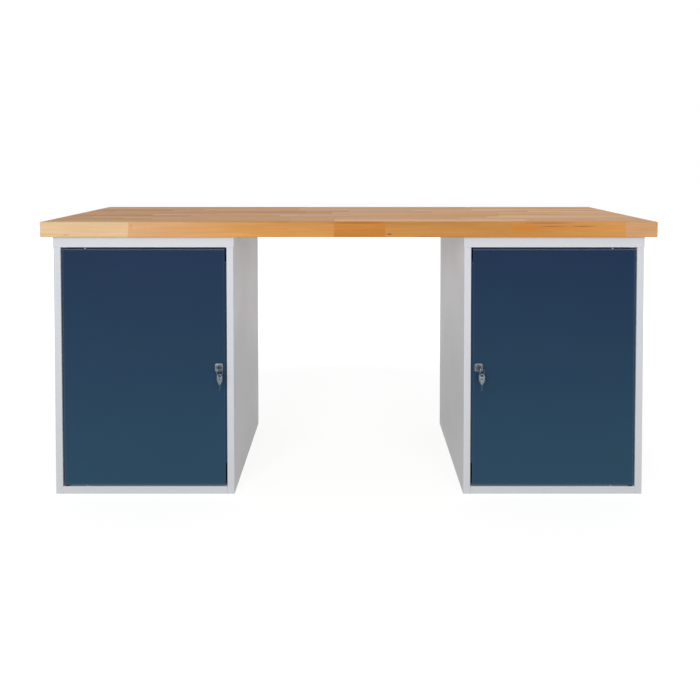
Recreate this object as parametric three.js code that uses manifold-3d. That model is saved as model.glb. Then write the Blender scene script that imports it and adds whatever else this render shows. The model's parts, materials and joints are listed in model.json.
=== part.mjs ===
// Workbench: a solid beech worktop on two sheet-steel cabinets, each with one hinged, lockable door.
// Millimetres, +Z up, the doors face -Y. The origin is on the floor under the middle of the worktop.
import * as THREE from 'three';
import { mergeVertices } from 'three/addons/utils/BufferGeometryUtils.js';
import Module from 'manifold-3d';

const wasm = await Module();
wasm.setup();

// Bench
const BENCH_LENGTH = 2000;
const BENCH_DEPTH = 700;
const BENCH_HEIGHT = 900;
const WORKTOP_THICKNESS = 50;
const WORKTOP_ARRIS = 1.5;
const SIDE_OVERHANG = 33.5;
const FRONT_OVERHANG = 20;

// Cabinet carcass
const CABINET_WIDTH = 591.5;
const CABINET_DEPTH = 650;
const SHEET = 1.5;
const BEND_RADIUS = 2.5;
const FIT = 0.3;
const STILE_WIDTH = 25;
const STILE_LIP = 20;
const REAR_FLANGE = 22;
const CAP_SKIRT = 34.5;
const CAP_LIP = 22;
const CAP_CORNER_RADIUS = 3;
const PLINTH_HEIGHT = 25;
const PLINTH_RETURN = 24;
const BACK_FLANGE = 14;
const WORKTOP_SCREW_HOLE_DIAMETER = 7;
const WORKTOP_SCREW_INSET = 70;

// Shelf and what carries it
const STRIP_WIDTH = 26;
const STRIP_DEPTH = 8;
const STRIP_END_GAP = 60;
const STRIP_SETBACK = 52;
const SLOT_PITCH = 50;
const SLOT_WIDTH = 12;
const SLOT_HEIGHT = 6;
const CLIP_LEDGE_LENGTH = 20;
const CLIP_LEG = 16;
const CLIP_HOOK = 5;
const SHELF_SLOT_NUMBER = 6;
const SHELF_SKIRT = 24;
const SHELF_LIP = 14;
const SHELF_SETBACK = 46;

// Door
const DOOR_SHEET = 1.25;
const DOOR_DEPTH = 20;
const DOOR_EDGE_RADIUS = 2;
const DOOR_CORNER_RADIUS = 1.5;
const DOOR_GAP_HINGE = 5;
const DOOR_GAP_LOCK = 5;
const DOOR_GAP_TOP = 5;
const DOOR_GAP_BOTTOM = 5;
const DOOR_NOTCH_TOP = 45;
const DOOR_NOTCH_BOTTOM = 72;
const LOCK_STRIP_WIDTH = 3.5;
const LOCK_STRIP_SETBACK = 4;
const RIB_WIDTH = 70;
const RIB_DEPTH = 15;
const RIB_FOOT = 14;

// Pivot hinges
const PIVOT_INSET = 9;
const PIVOT_SETBACK = 9;
const PIN_DIAMETER = 8;
const PIN_ENGAGEMENT = 9;
const BUSH_WALL = 2;
const BUSH_FLANGE_WIDTH = 2.5;
const BUSH_FLANGE_HEIGHT = 1.5;
const HINGE_PLATE_LENGTH = 88;
const HINGE_PLATE_WIDTH = 13;
const HINGE_PLATE_THICKNESS = 3;
const RIVET_INSET = 74;
const RIVET_SETBACK = 6.5;
const RIVET_DIAMETER = 5;
const RIVET_HEAD_DIAMETER = 9;
const RIVET_HEAD_HEIGHT = 3.4;
const RIVET_SHOULDER_DIAMETER = 7.6;
const RIVET_SHOULDER_HEIGHT = 2;

// Lock
const LOCK_INSET = 20;
const ROSE_SIZE = 26.5;
const ROSE_HEIGHT = 4;
const ROSE_CORNER_RADIUS = 4.5;
const ROSE_BEVEL = 1;
const BARREL_DIAMETER = 22;
const BARREL_LENGTH = 23;
const NUT_ACROSS_FLATS = 28;
const NUT_CORNERS = 6;
const NUT_HEIGHT = 4;
const PLUG_DIAMETER = 16;
const CAM_THICKNESS = 2.5;
const CAM_WIDTH = 15;
const CAM_REACH = 38;
const CAM_SQUARE = 7;

// Keys and their ring
const KEY_THICKNESS = 1.8;
const BLADE_LENGTH = 22;
const BLADE_WIDTH = 5.5;
const BLADE_TIP = 3;
const BITTING_COUNT = 4;
const BITTING_DEPTH = 1.2;
const BITTING_WIDTH = 3.6;
const BOW_LENGTH = 35;
const BOW_WIDTH = 20;
const BOW_TAPER = 13;
const BOW_END_RADIUS = 9;
const BOW_SLOT_LENGTH = 10;
const BOW_SLOT_WIDTH = 6;
const BOW_SLOT_RIM = 3;
const BOW_HOLE_DIAMETER = 4;
const KEYWAY_GAP = 0.4;
const RING_RADIUS = 10;
const RING_WIRE_DIAMETER = 1.4;
const RING_PLAY = 0.5;
const RING_TURN = 28;
const RING_SLANT = 46;
const SPARE_TURN = 70;

// Fineness of round shapes
const BEND_STEPS = 2;
const ROUND_STEPS = 10;
const RING_STEPS = 36;
const WIRE_STEPS = 8;

// Levels and planes that the pieces share
const CABINET_HEIGHT = BENCH_HEIGHT - WORKTOP_THICKNESS;
const KNEE_SPACE = BENCH_LENGTH - 2 * (SIDE_OVERHANG + CABINET_WIDTH);
const FRONT = -BENCH_DEPTH / 2 + FRONT_OVERHANG;
const REAR = FRONT + CABINET_DEPTH;
const OPENING_TOP = CABINET_HEIGHT - CAP_SKIRT;
const CAP_UNDERSIDE = CABINET_HEIGHT - SHEET;
const DOOR_TOP = OPENING_TOP - DOOR_GAP_TOP;
const DOOR_BOTTOM = PLINTH_HEIGHT + DOOR_GAP_BOTTOM;
const WALL_FACE = SHEET + FIT;
const WALL_INSIDE = WALL_FACE + SHEET;
const CLEAR_OF_BENDS = WALL_INSIDE + BEND_RADIUS - SHEET + FIT;
const LIP_BACK = FRONT + STILE_LIP;
const BACK_PANEL_FACE = REAR - SHEET - FIT;
const STRIP_FACE = WALL_INSIDE + FIT + STRIP_DEPTH;
const STRIP_BOTTOM = PLINTH_HEIGHT + STRIP_END_GAP;
const STRIP_TOP = OPENING_TOP - STRIP_END_GAP;
const PIVOT_Y = FRONT + PIVOT_SETBACK;
const RIVET_Y = FRONT + RIVET_SETBACK;
const BUSH_BORE = PIN_DIAMETER + 2 * FIT;
const BUSH_DIAMETER = BUSH_BORE + 2 * BUSH_WALL;
const LOCK_Z = (DOOR_TOP + DOOR_BOTTOM) / 2;
const DOOR_EDGE_LOCK = STILE_WIDTH + DOOR_GAP_LOCK;
const DOOR_EDGE_HINGE = CABINET_WIDTH - STILE_WIDTH - DOOR_GAP_HINGE;

// Finishes
const beech = new THREE.MeshStandardMaterial({ color: 0xd8a468, roughness: 0.5, metalness: 0 });
const greyPaint = new THREE.MeshStandardMaterial({ color: 0xcfd2d5, roughness: 0.45, metalness: 0 });
const bluePaint = new THREE.MeshStandardMaterial({ color: 0x293f5c, roughness: 0.42, metalness: 0 });
const zinc = new THREE.MeshStandardMaterial({ color: 0xb4b6b8, roughness: 0.32, metalness: 1 });
const nickel = new THREE.MeshStandardMaterial({ color: 0xbcb9b2, roughness: 0.25, metalness: 1 });
const nylon = new THREE.MeshStandardMaterial({ color: 0x3c3d3f, roughness: 0.5, metalness: 0 });

const bench = new THREE.Group();

// Closed geometry to a solid that can be cut and joined
function solidOf(geometry) {
  const bare = geometry.index ? geometry.toNonIndexed() : geometry.clone();
  bare.deleteAttribute('normal');
  bare.deleteAttribute('uv');
  const merged = mergeVertices(bare, 1e-4);
  return new wasm.Manifold(new wasm.Mesh({
    numProp: 3,
    vertProperties: new Float32Array(merged.attributes.position.array),
    triVerts: new Uint32Array(merged.index.array),
  }));
}

function geometryOf(solid) {
  const mesh = solid.getMesh();
  const geometry = new THREE.BufferGeometry();
  geometry.setAttribute('position', new THREE.BufferAttribute(new Float32Array(mesh.vertProperties), 3));
  geometry.setIndex(new THREE.BufferAttribute(new Uint32Array(mesh.triVerts), 1));
  geometry.computeVertexNormals();
  return geometry;
}

function place(name, solid, material) {
  const mesh = new THREE.Mesh(geometryOf(solid), material);
  mesh.name = name;
  bench.add(mesh);
}

const joined = (...solids) => solids.reduce((whole, piece) => whole.add(piece));
const cut = (solid, ...tools) => tools.reduce((whole, tool) => whole.subtract(tool), solid);

// Box between two corners given per axis, in either order
function block(x, y, z) {
  const [width, depth, height] = [x, y, z].map(([a, b]) => Math.abs(b - a));
  const box = new THREE.BoxGeometry(width, depth, height);
  box.translate((x[0] + x[1]) / 2, (y[0] + y[1]) / 2, (z[0] + z[1]) / 2);
  return solidOf(box);
}

// Extrusions of a flat shape: along Z from an XY shape, along X from a YZ shape, along Y from an XZ shape
function extrude(shape, depth, steps, bevel = 0) {
  return new THREE.ExtrudeGeometry(shape, {
    depth,
    curveSegments: steps,
    bevelEnabled: bevel > 0,
    bevelSize: bevel,
    bevelThickness: bevel,
    bevelSegments: BEND_STEPS,
  });
}

function alongZ(shape, [from, to], steps = BEND_STEPS, bevel = 0) {
  const geometry = extrude(shape, to - from - 2 * bevel, steps, bevel);
  geometry.translate(0, 0, from + bevel);
  return solidOf(geometry);
}

function alongX(shape, [from, to], steps = BEND_STEPS) {
  const low = Math.min(from, to);
  const geometry = extrude(shape, Math.abs(to - from), steps);
  const axes = [new THREE.Vector3(0, 1, 0), new THREE.Vector3(0, 0, 1), new THREE.Vector3(1, 0, 0)];
  geometry.applyMatrix4(new THREE.Matrix4().makeBasis(...axes).setPosition(low, 0, 0));
  return solidOf(geometry);
}

function alongY(shape, [from, to], steps = BEND_STEPS, bevel = 0) {
  const geometry = extrude(shape, to - from - 2 * bevel, steps, bevel);
  const axes = [new THREE.Vector3(1, 0, 0), new THREE.Vector3(0, 0, 1), new THREE.Vector3(0, -1, 0)];
  geometry.applyMatrix4(new THREE.Matrix4().makeBasis(...axes).setPosition(0, to - bevel, 0));
  return solidOf(geometry);
}

// Closed outline through corner points, each rounded by its own radius
function roundedOutline(corners, radii, Outline = THREE.Shape) {
  const outline = new Outline();
  const draw = (x, y, first) => (first ? outline.moveTo(x, y) : outline.lineTo(x, y));
  corners.forEach((corner, i) => {
    const before = corners[(i + corners.length - 1) % corners.length];
    const after = corners[(i + 1) % corners.length];
    if (radii[i] === 0) {
      draw(corner.x, corner.y, i === 0);
      return;
    }
    const back = before.clone().sub(corner).normalize();
    const ahead = after.clone().sub(corner).normalize();
    const halfAngle = Math.acos(back.dot(ahead)) / 2;
    const reach = radii[i] / Math.tan(halfAngle);
    const start = back.clone().multiplyScalar(reach).add(corner);
    const end = ahead.clone().multiplyScalar(reach).add(corner);
    const centre = back.clone().add(ahead).setLength(radii[i] / Math.sin(halfAngle)).add(corner);
    const clockwise = back.cross(ahead) > 0;
    draw(start.x, start.y, i === 0);
    outline.absarc(
      centre.x,
      centre.y,
      radii[i],
      Math.atan2(start.y - centre.y, start.x - centre.x),
      Math.atan2(end.y - centre.y, end.x - centre.x),
      clockwise,
    );
  });
  outline.closePath();
  return outline;
}

function roundedRectangle([x0, x1], [y0, y1], radius, Outline = THREE.Shape) {
  const [left, right] = [Math.min(x0, x1), Math.max(x0, x1)];
  const corners = [[left, y0], [right, y0], [right, y1], [left, y1]].map(([x, y]) => new THREE.Vector2(x, y));
  return roundedOutline(corners, corners.map(() => radius), Outline);
}

function disc(x, y, diameter, Outline = THREE.Shape) {
  const outline = new Outline();
  outline.absarc(x, y, diameter / 2, 0, 2 * Math.PI, false);
  return outline;
}

// Section of a folded sheet: the path is one face, the sheet lies on its left, or on its right if side is -1
function foldedSheet(points, thickness, side) {
  const face = points.map(([x, y]) => new THREE.Vector2(x, y));
  const legs = face.slice(1).map((point, i) => point.clone().sub(face[i]).normalize());
  const normals = legs.map((leg) => new THREE.Vector2(-leg.y, leg.x).multiplyScalar(side));
  const inner = face.map((point, i) => {
    const before = normals[Math.max(i - 1, 0)];
    const after = normals[Math.min(i, normals.length - 1)];
    const middle = before.clone().add(after).normalize();
    return middle.multiplyScalar(thickness / middle.dot(after)).add(point);
  });
  const isEnd = (i) => i === 0 || i === face.length - 1;
  const foldsInward = (i) => legs[i - 1].cross(legs[i]) * side > 0;
  const faceRadii = face.map((_, i) => (isEnd(i) ? 0 : BEND_RADIUS - (foldsInward(i) ? 0 : thickness)));
  const innerRadii = face.map((_, i) => (isEnd(i) ? 0 : BEND_RADIUS - (foldsInward(i) ? thickness : 0)));
  return roundedOutline([...face, ...inner.reverse()], [...faceRadii, ...innerRadii.reverse()]);
}

// Tray of folded sheet with its opening downwards, given by its outside edges
function downwardTray(x, y, [bottom, top], thickness, radius) {
  const inside = ([a, b]) => [Math.min(a, b) + thickness, Math.max(a, b) - thickness];
  const outer = alongZ(roundedRectangle(x, y, radius), [bottom, top]);
  const hollow = roundedRectangle(inside(x), inside(y), radius - thickness);
  return cut(outer, alongZ(hollow, [bottom - thickness, top - thickness]));
}

// The key: a slotted, tapering bow and a notched blade. The blade runs along +X from its shoulder at x = 0.
function keyShape() {
  const half = BLADE_WIDTH / 2;
  const points = [[BLADE_LENGTH - BLADE_TIP, -half], [BLADE_LENGTH, 0], [BLADE_LENGTH - BLADE_TIP, half]];
  const pitch = (BLADE_LENGTH - BLADE_TIP) / BITTING_COUNT;
  for (let notch = BITTING_COUNT; notch > 0; notch -= 1) {
    const middle = (notch - 0.5) * pitch;
    points.push([middle + BITTING_WIDTH / 2, half]);
    points.push([middle, half - BITTING_DEPTH]);
    points.push([middle - BITTING_WIDTH / 2, half]);
  }
  const bladePoints = points.length;
  points.push([0, half], [-BOW_TAPER, BOW_WIDTH / 2], [-BOW_LENGTH, BOW_WIDTH / 2]);
  points.push([-BOW_LENGTH, -BOW_WIDTH / 2], [-BOW_TAPER, -BOW_WIDTH / 2], [0, -half]);
  const bowRadii = [0, BOW_END_RADIUS, BOW_END_RADIUS, BOW_END_RADIUS, BOW_END_RADIUS, 0];
  const corners = points.map(([x, y]) => new THREE.Vector2(x, y));
  const shape = roundedOutline(corners, [...new Array(bladePoints).fill(0), ...bowRadii]);
  const slotX = [-BOW_SLOT_WIDTH / 2, BOW_SLOT_WIDTH / 2].map((x) => x + KEY_SLOT_X);
  const slotY = [-BOW_SLOT_LENGTH / 2, BOW_SLOT_LENGTH / 2];
  shape.holes.push(roundedRectangle(slotX, slotY, BOW_SLOT_WIDTH / 2 - FIT, THREE.Path));
  shape.holes.push(disc(-BOW_LENGTH / 2, 0, BOW_HOLE_DIAMETER, THREE.Path));
  return shape;
}

const KEY_SLOT_X = -BOW_LENGTH + BOW_SLOT_RIM + BOW_SLOT_WIDTH / 2;

// A key with its thickness centred on its own plane, then carried to its place
function keyAt(axes, position) {
  const geometry = extrude(keyShape(), KEY_THICKNESS, BEND_STEPS + 1);
  geometry.translate(0, 0, -KEY_THICKNESS / 2);
  geometry.applyMatrix4(new THREE.Matrix4().makeBasis(...axes).setPosition(position));
  return solidOf(geometry);
}

// Worktop
const worktopOutline = roundedRectangle(
  [-BENCH_LENGTH / 2 + WORKTOP_ARRIS, BENCH_LENGTH / 2 - WORKTOP_ARRIS],
  [-BENCH_DEPTH / 2 + WORKTOP_ARRIS, BENCH_DEPTH / 2 - WORKTOP_ARRIS],
  WORKTOP_ARRIS,
);
place('worktop', alongZ(worktopOutline, [CABINET_HEIGHT, BENCH_HEIGHT], 1, WORKTOP_ARRIS), beech);

// One cabinet. Distances across it are counted from its knee-side face towards the end of the bench.
function buildCabinet(name, end) {
  const across = (distance) => end * (KNEE_SPACE / 2 + distance);
  const span = (from, to) => [across(from), across(to)];
  const fromHinge = (distance) => across(DOOR_EDGE_HINGE - distance);
  const put = (piece, solid, material) => place(`${name}_${piece}`, solid, material);

  // Side panels: a wall with a rear flange, a front stile and the stile's lip, trimmed to go under the cap
  function sidePanel(wallFace, inward) {
    const at = (distance) => across(wallFace + inward * distance);
    const section = foldedSheet([
      [at(REAR_FLANGE), REAR],
      [at(0), REAR],
      [at(0), FRONT],
      [at(STILE_WIDTH - WALL_FACE), FRONT],
      [at(STILE_WIDTH - WALL_FACE), LIP_BACK],
    ], SHEET, end * inward);
    const trimmed = [OPENING_TOP - FIT, CABINET_HEIGHT];
    const behindSkirt = CAP_CORNER_RADIUS + FIT;
    const past = BEND_RADIUS;
    return cut(
      alongZ(section, [0, CAP_UNDERSIDE - FIT]),
      block([at(-past), at(STILE_WIDTH)], [FRONT - past, FRONT + behindSkirt], trimmed),
      block([at(SHEET + FIT), at(STILE_WIDTH)], [FRONT, LIP_BACK + past], trimmed),
      block([at(-past), at(REAR_FLANGE + past)], [REAR - behindSkirt, REAR + past], trimmed),
    );
  }
  put('inner_side_panel', sidePanel(WALL_FACE, 1), greyPaint);
  put('outer_side_panel', sidePanel(CABINET_WIDTH - WALL_FACE, -1), greyPaint);

  // Bushes that carry the door's pivot pins, in the cap's lip above and in the floor pan below
  const pivotX = fromHinge(PIVOT_INSET);
  const bushHole = (z) => alongZ(disc(pivotX, PIVOT_Y, BUSH_DIAMETER + 2 * FIT), z, ROUND_STEPS);
  function bush(seat, up) {
    const bore = BUSH_BORE / 2;
    const outside = BUSH_DIAMETER / 2;
    const rim = outside + BUSH_FLANGE_WIDTH;
    const below = -BUSH_FLANGE_HEIGHT - FIT;
    const profile = [[bore, below], [rim, below], [rim, -FIT], [outside, -FIT]];
    profile.push([outside, PIN_ENGAGEMENT], [bore, PIN_ENGAGEMENT], [bore, below]);
    const lathe = new THREE.LatheGeometry(profile.map(([r, z]) => new THREE.Vector2(r, z)), 2 * ROUND_STEPS);
    lathe.rotateX(up > 0 ? Math.PI / 2 : -Math.PI / 2);
    lathe.translate(pivotX, PIVOT_Y, seat);
    return solidOf(lathe);
  }
  put('upper_hinge_bush', bush(OPENING_TOP, 1), nylon);
  put('lower_hinge_bush', bush(PLINTH_HEIGHT, -1), nylon);

  // Cap: a tray over the side panels, with a lip behind its front skirt and holes for the worktop's screws
  const insideWalls = span(CLEAR_OF_BENDS, CABINET_WIDTH - CLEAR_OF_BENDS);
  const capLip = block(insideWalls, [FRONT + SHEET / 2, FRONT + CAP_LIP], [OPENING_TOP, OPENING_TOP + SHEET]);
  const cap = downwardTray(span(0, CABINET_WIDTH), [FRONT, REAR], [OPENING_TOP, CABINET_HEIGHT], SHEET,
    CAP_CORNER_RADIUS);
  const throughTop = [CAP_UNDERSIDE - SHEET, CABINET_HEIGHT + SHEET];
  const screwHoles = [WORKTOP_SCREW_INSET, CABINET_WIDTH - WORKTOP_SCREW_INSET].flatMap((distance) => (
    [FRONT + WORKTOP_SCREW_INSET, REAR - WORKTOP_SCREW_INSET].map((y) => (
      alongZ(disc(across(distance), y, WORKTOP_SCREW_HOLE_DIAMETER), throughTop)
    ))
  ));
  const capBushHole = bushHole([OPENING_TOP - SHEET, OPENING_TOP + 2 * SHEET]);
  put('cap', cut(joined(cap, capLip), capBushHole, ...screwHoles), greyPaint);

  // Floor pan: the cabinet's floor, folded down to the plinth and returned along the ground
  const panSection = foldedSheet([
    [FRONT + PLINTH_RETURN, 0],
    [FRONT, 0],
    [FRONT, PLINTH_HEIGHT],
    [BACK_PANEL_FACE, PLINTH_HEIGHT],
    [BACK_PANEL_FACE, 0],
    [BACK_PANEL_FACE - PLINTH_RETURN, 0],
  ], SHEET, -1);
  const stileNotch = (from, to) => (
    block(span(from, to), [FRONT - SHEET, LIP_BACK + FIT], [-SHEET, PLINTH_HEIGHT + SHEET])
  );
  put('floor_pan', cut(
    alongX(panSection, insideWalls),
    stileNotch(0, STILE_WIDTH + FIT),
    stileNotch(CABINET_WIDTH - STILE_WIDTH - FIT, CABINET_WIDTH),
    bushHole([PLINTH_HEIGHT - 2 * SHEET, PLINTH_HEIGHT + SHEET]),
  ), greyPaint);

  // Back panel, flanged at its top and bottom, against the side panels' rear flanges
  const backTop = CAP_UNDERSIDE - FIT;
  const backBottom = PLINTH_HEIGHT + FIT;
  const backSection = foldedSheet([
    [BACK_PANEL_FACE - BACK_FLANGE, backBottom],
    [BACK_PANEL_FACE, backBottom],
    [BACK_PANEL_FACE, backTop],
    [BACK_PANEL_FACE - BACK_FLANGE, backTop],
  ], SHEET, 1);
  put('back_panel', alongX(backSection, insideWalls), greyPaint);

  // Slotted strips on the walls, the clips hooked into them, and the shelf that lies on the clips
  const slotZ = (number) => STRIP_BOTTOM + (number + 0.5) * SLOT_PITCH;
  const slotCount = Math.floor((STRIP_TOP - STRIP_BOTTOM) / SLOT_PITCH);
  const ledgeTop = slotZ(SHELF_SLOT_NUMBER) - SLOT_HEIGHT / 2 + CLIP_LEG;
  const strips = { front: FRONT + STRIP_SETBACK, rear: REAR - STRIP_SETBACK };
  const walls = {
    inner: (distance) => across(distance),
    outer: (distance) => across(CABINET_WIDTH - distance),
  };
  for (const [where, middle] of Object.entries(strips)) {
    for (const [wall, fromWall] of Object.entries(walls)) {
      const facing = Math.sign(fromWall(1) - fromWall(0));
      const stripSection = foldedSheet([
        [fromWall(WALL_INSIDE + FIT), middle - STRIP_WIDTH / 2],
        [fromWall(STRIP_FACE), middle - STRIP_WIDTH / 2],
        [fromWall(STRIP_FACE), middle + STRIP_WIDTH / 2],
        [fromWall(WALL_INSIDE + FIT), middle + STRIP_WIDTH / 2],
      ], SHEET, facing);
      const slots = Array.from({ length: slotCount }, (_, number) => block(
        [fromWall(STRIP_FACE - 2 * SHEET), fromWall(STRIP_FACE + SHEET)],
        [middle - SLOT_WIDTH / 2, middle + SLOT_WIDTH / 2],
        [slotZ(number) - SLOT_HEIGHT / 2, slotZ(number) + SLOT_HEIGHT / 2],
      ));
      const strip = cut(alongZ(stripSection, [STRIP_BOTTOM, STRIP_TOP]), ...slots);
      put(`${where}_${wall}_shelf_strip`, strip, greyPaint);

      const clipY = [middle - SLOT_WIDTH / 2 + FIT, middle + SLOT_WIDTH / 2 - FIT];
      const clipFace = STRIP_FACE + FIT;
      const hookBottom = slotZ(SHELF_SLOT_NUMBER) - SLOT_HEIGHT / 2 + FIT;
      const leg = block([fromWall(clipFace), fromWall(clipFace + SHEET)], clipY, [hookBottom, ledgeTop]);
      const ledgeX = [fromWall(clipFace), fromWall(clipFace + CLIP_LEDGE_LENGTH)];
      const ledge = block(ledgeX, clipY, [ledgeTop - SHEET, ledgeTop]);
      const hook = block([fromWall(STRIP_FACE - CLIP_HOOK), fromWall(clipFace + SHEET)], clipY,
        [hookBottom, hookBottom + SHEET]);
      put(`${where}_${wall}_shelf_clip`, joined(leg, ledge, hook), zinc);
    }
  }
  const shelfSides = STRIP_FACE + FIT + SHEET + FIT;
  const shelfX = span(shelfSides, CABINET_WIDTH - shelfSides);
  const shelfY = [FRONT + SHELF_SETBACK, BACK_PANEL_FACE - SHEET - BACK_FLANGE];
  const shelfZ = [ledgeTop + FIT, ledgeTop + FIT + SHELF_SKIRT];
  const shelfTray = downwardTray(shelfX, shelfY, shelfZ, SHEET, BEND_RADIUS);
  const lipX = span(shelfSides + CLIP_LEDGE_LENGTH, CABINET_WIDTH - shelfSides - CLIP_LEDGE_LENGTH);
  const lipZ = [shelfZ[0], shelfZ[0] + SHEET];
  const frontLip = block(lipX, [shelfY[0] + SHEET / 2, shelfY[0] + SHELF_LIP], lipZ);
  const rearLip = block(lipX, [shelfY[1] - SHELF_LIP, shelfY[1] - SHEET / 2], lipZ);
  put('shelf', joined(shelfTray, frontLip, rearLip), greyPaint);

  // Door: a folded pan, its lock-side flange cut back at both ends and stepped out between them
  const doorX = span(DOOR_EDGE_LOCK, DOOR_EDGE_HINGE).sort((a, b) => a - b);
  const doorZ = [DOOR_BOTTOM, DOOR_TOP];
  const doorBack = FRONT + DOOR_DEPTH;
  const inset = ([low, high], by) => [low + by, high - by];
  const blank = alongY(
    roundedRectangle(inset(doorX, DOOR_EDGE_RADIUS), inset(doorZ, DOOR_EDGE_RADIUS), DOOR_CORNER_RADIUS),
    [FRONT, doorBack + 2 * DOOR_EDGE_RADIUS], BEND_STEPS, DOOR_EDGE_RADIUS,
  );
  const hollow = alongY(
    roundedRectangle(inset(doorX, DOOR_SHEET), inset(doorZ, DOOR_SHEET), DOOR_CORNER_RADIUS),
    [FRONT + DOOR_SHEET, doorBack + DOOR_DEPTH],
  );
  const behindY = [doorBack, doorBack + DOOR_DEPTH];
  const behind = block(inset(doorX, -DOOR_SHEET), behindY, inset(doorZ, -DOOR_SHEET));
  const notchX = span(DOOR_EDGE_LOCK - DOOR_SHEET, DOOR_EDGE_LOCK + 2 * DOOR_SHEET);
  const notch = (z) => block(notchX, [FRONT + DOOR_EDGE_RADIUS + DOOR_SHEET, doorBack + DOOR_SHEET], z);
  const lockStrip = block(
    span(DOOR_EDGE_LOCK - LOCK_STRIP_WIDTH, DOOR_EDGE_LOCK + DOOR_SHEET),
    [FRONT + LOCK_STRIP_SETBACK, doorBack],
    [DOOR_BOTTOM + DOOR_NOTCH_BOTTOM, DOOR_TOP - DOOR_NOTCH_TOP],
  );
  const lockX = across(DOOR_EDGE_LOCK + LOCK_INSET);
  const lockHole = alongY(disc(lockX, LOCK_Z, BARREL_DIAMETER + 2 * FIT), [FRONT - SHEET, FRONT + DOOR_DEPTH],
    ROUND_STEPS);
  const rivetX = fromHinge(RIVET_INSET);
  const flangeHoles = (z) => [
    alongZ(disc(pivotX, PIVOT_Y, PIN_DIAMETER + 2 * FIT), z, ROUND_STEPS),
    alongZ(disc(rivetX, RIVET_Y, RIVET_DIAMETER + 2 * FIT), z, ROUND_STEPS),
  ];
  const pan = cut(
    blank,
    hollow,
    behind,
    notch([DOOR_TOP - DOOR_NOTCH_TOP, DOOR_TOP - DOOR_SHEET - FIT]),
    notch([DOOR_BOTTOM + DOOR_SHEET + FIT, DOOR_BOTTOM + DOOR_NOTCH_BOTTOM]),
    lockHole,
    ...flangeHoles([DOOR_TOP - 2 * DOOR_SHEET, DOOR_TOP + DOOR_SHEET]),
    ...flangeHoles([DOOR_BOTTOM - DOOR_SHEET, DOOR_BOTTOM + 2 * DOOR_SHEET]),
  );
  put('door', joined(pan, lockStrip), bluePaint);

  // Rib of folded sheet down the middle of the door's inside
  const ribMiddle = across((DOOR_EDGE_LOCK + DOOR_EDGE_HINGE) / 2);
  const ribFoot = FRONT + DOOR_SHEET + FIT;
  const ribPath = [[-RIB_WIDTH / 2 - RIB_FOOT, 0], [-RIB_WIDTH / 2, 0], [-RIB_WIDTH / 2, RIB_DEPTH],
    [RIB_WIDTH / 2, RIB_DEPTH], [RIB_WIDTH / 2, 0], [RIB_WIDTH / 2 + RIB_FOOT, 0]];
  const ribSection = foldedSheet(ribPath.map(([x, y]) => [ribMiddle + x, ribFoot + y]), DOOR_SHEET, 1);
  put('door_rib', alongZ(ribSection, inset(doorZ, DOOR_SHEET + FIT)), bluePaint);

  // Hinge plates under the door's flanges: the pivot pin goes through to the bush, the rivet holds the plate
  function hingePlate(flangeFace, up, pinReach) {
    const ordered = (a, b) => [flangeFace + up * a, flangeFace + up * b].sort((low, high) => low - high);
    const seat = -DOOR_SHEET - FIT;
    const plateX = [fromHinge(DOOR_SHEET + FIT + DOOR_CORNER_RADIUS), fromHinge(HINGE_PLATE_LENGTH)];
    const plateY = [PIVOT_Y - HINGE_PLATE_WIDTH / 2, PIVOT_Y + HINGE_PLATE_WIDTH / 2];
    const plateZ = ordered(seat - HINGE_PLATE_THICKNESS, seat);
    const plate = alongZ(roundedRectangle(plateX, plateY, BEND_RADIUS), plateZ);
    const root = seat - HINGE_PLATE_THICKNESS / 2;
    const pin = alongZ(disc(pivotX, PIVOT_Y, PIN_DIAMETER), ordered(root, pinReach), ROUND_STEPS);
    const shankZ = ordered(root, FIT + RIVET_HEAD_HEIGHT / 2);
    const shank = alongZ(disc(rivetX, RIVET_Y, RIVET_DIAMETER), shankZ, ROUND_STEPS);
    const shoulder = [RIVET_SHOULDER_DIAMETER / 2, RIVET_SHOULDER_HEIGHT];
    const dome = [[0, 0], [RIVET_HEAD_DIAMETER / 2, 0], shoulder, [0, RIVET_HEAD_HEIGHT]];
    const head = new THREE.LatheGeometry(dome.map(([r, z]) => new THREE.Vector2(r, z)), ROUND_STEPS);
    head.rotateX(up > 0 ? Math.PI / 2 : -Math.PI / 2);
    head.translate(rivetX, RIVET_Y, flangeFace + up * FIT);
    return joined(plate, pin, shank, solidOf(head));
  }
  put('upper_hinge_plate', hingePlate(DOOR_TOP, 1, DOOR_GAP_TOP + PIN_ENGAGEMENT), zinc);
  put('lower_hinge_plate', hingePlate(DOOR_BOTTOM, -1, DOOR_GAP_BOTTOM + PIN_ENGAGEMENT), zinc);

  // Lock body: a square rose on the door and a barrel through it, bored for the plug, held by a nut behind
  const lockBack = FRONT + BARREL_LENGTH;
  const roseFront = FRONT - FIT - ROSE_HEIGHT;
  const roseHalf = ROSE_SIZE / 2 - ROSE_BEVEL;
  const rose = alongY(
    roundedRectangle([lockX - roseHalf, lockX + roseHalf], [LOCK_Z - roseHalf, LOCK_Z + roseHalf],
      ROSE_CORNER_RADIUS - ROSE_BEVEL),
    [roseFront, FRONT - FIT + ROSE_BEVEL], BEND_STEPS + 1, ROSE_BEVEL,
  );
  const roseSeat = block([lockX - ROSE_SIZE, lockX + ROSE_SIZE], [FRONT - FIT, FRONT + ROSE_HEIGHT],
    [LOCK_Z - ROSE_SIZE, LOCK_Z + ROSE_SIZE]);
  const barrelY = [roseFront + ROSE_HEIGHT / 2, lockBack];
  const barrel = alongY(disc(lockX, LOCK_Z, BARREL_DIAMETER), barrelY, ROUND_STEPS);
  const boreY = [roseFront - SHEET, lockBack + SHEET];
  const plugBore = alongY(disc(lockX, LOCK_Z, PLUG_DIAMETER + 2 * FIT), boreY, ROUND_STEPS);
  put('lock_body', cut(joined(cut(rose, roseSeat), barrel), plugBore), zinc);

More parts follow.
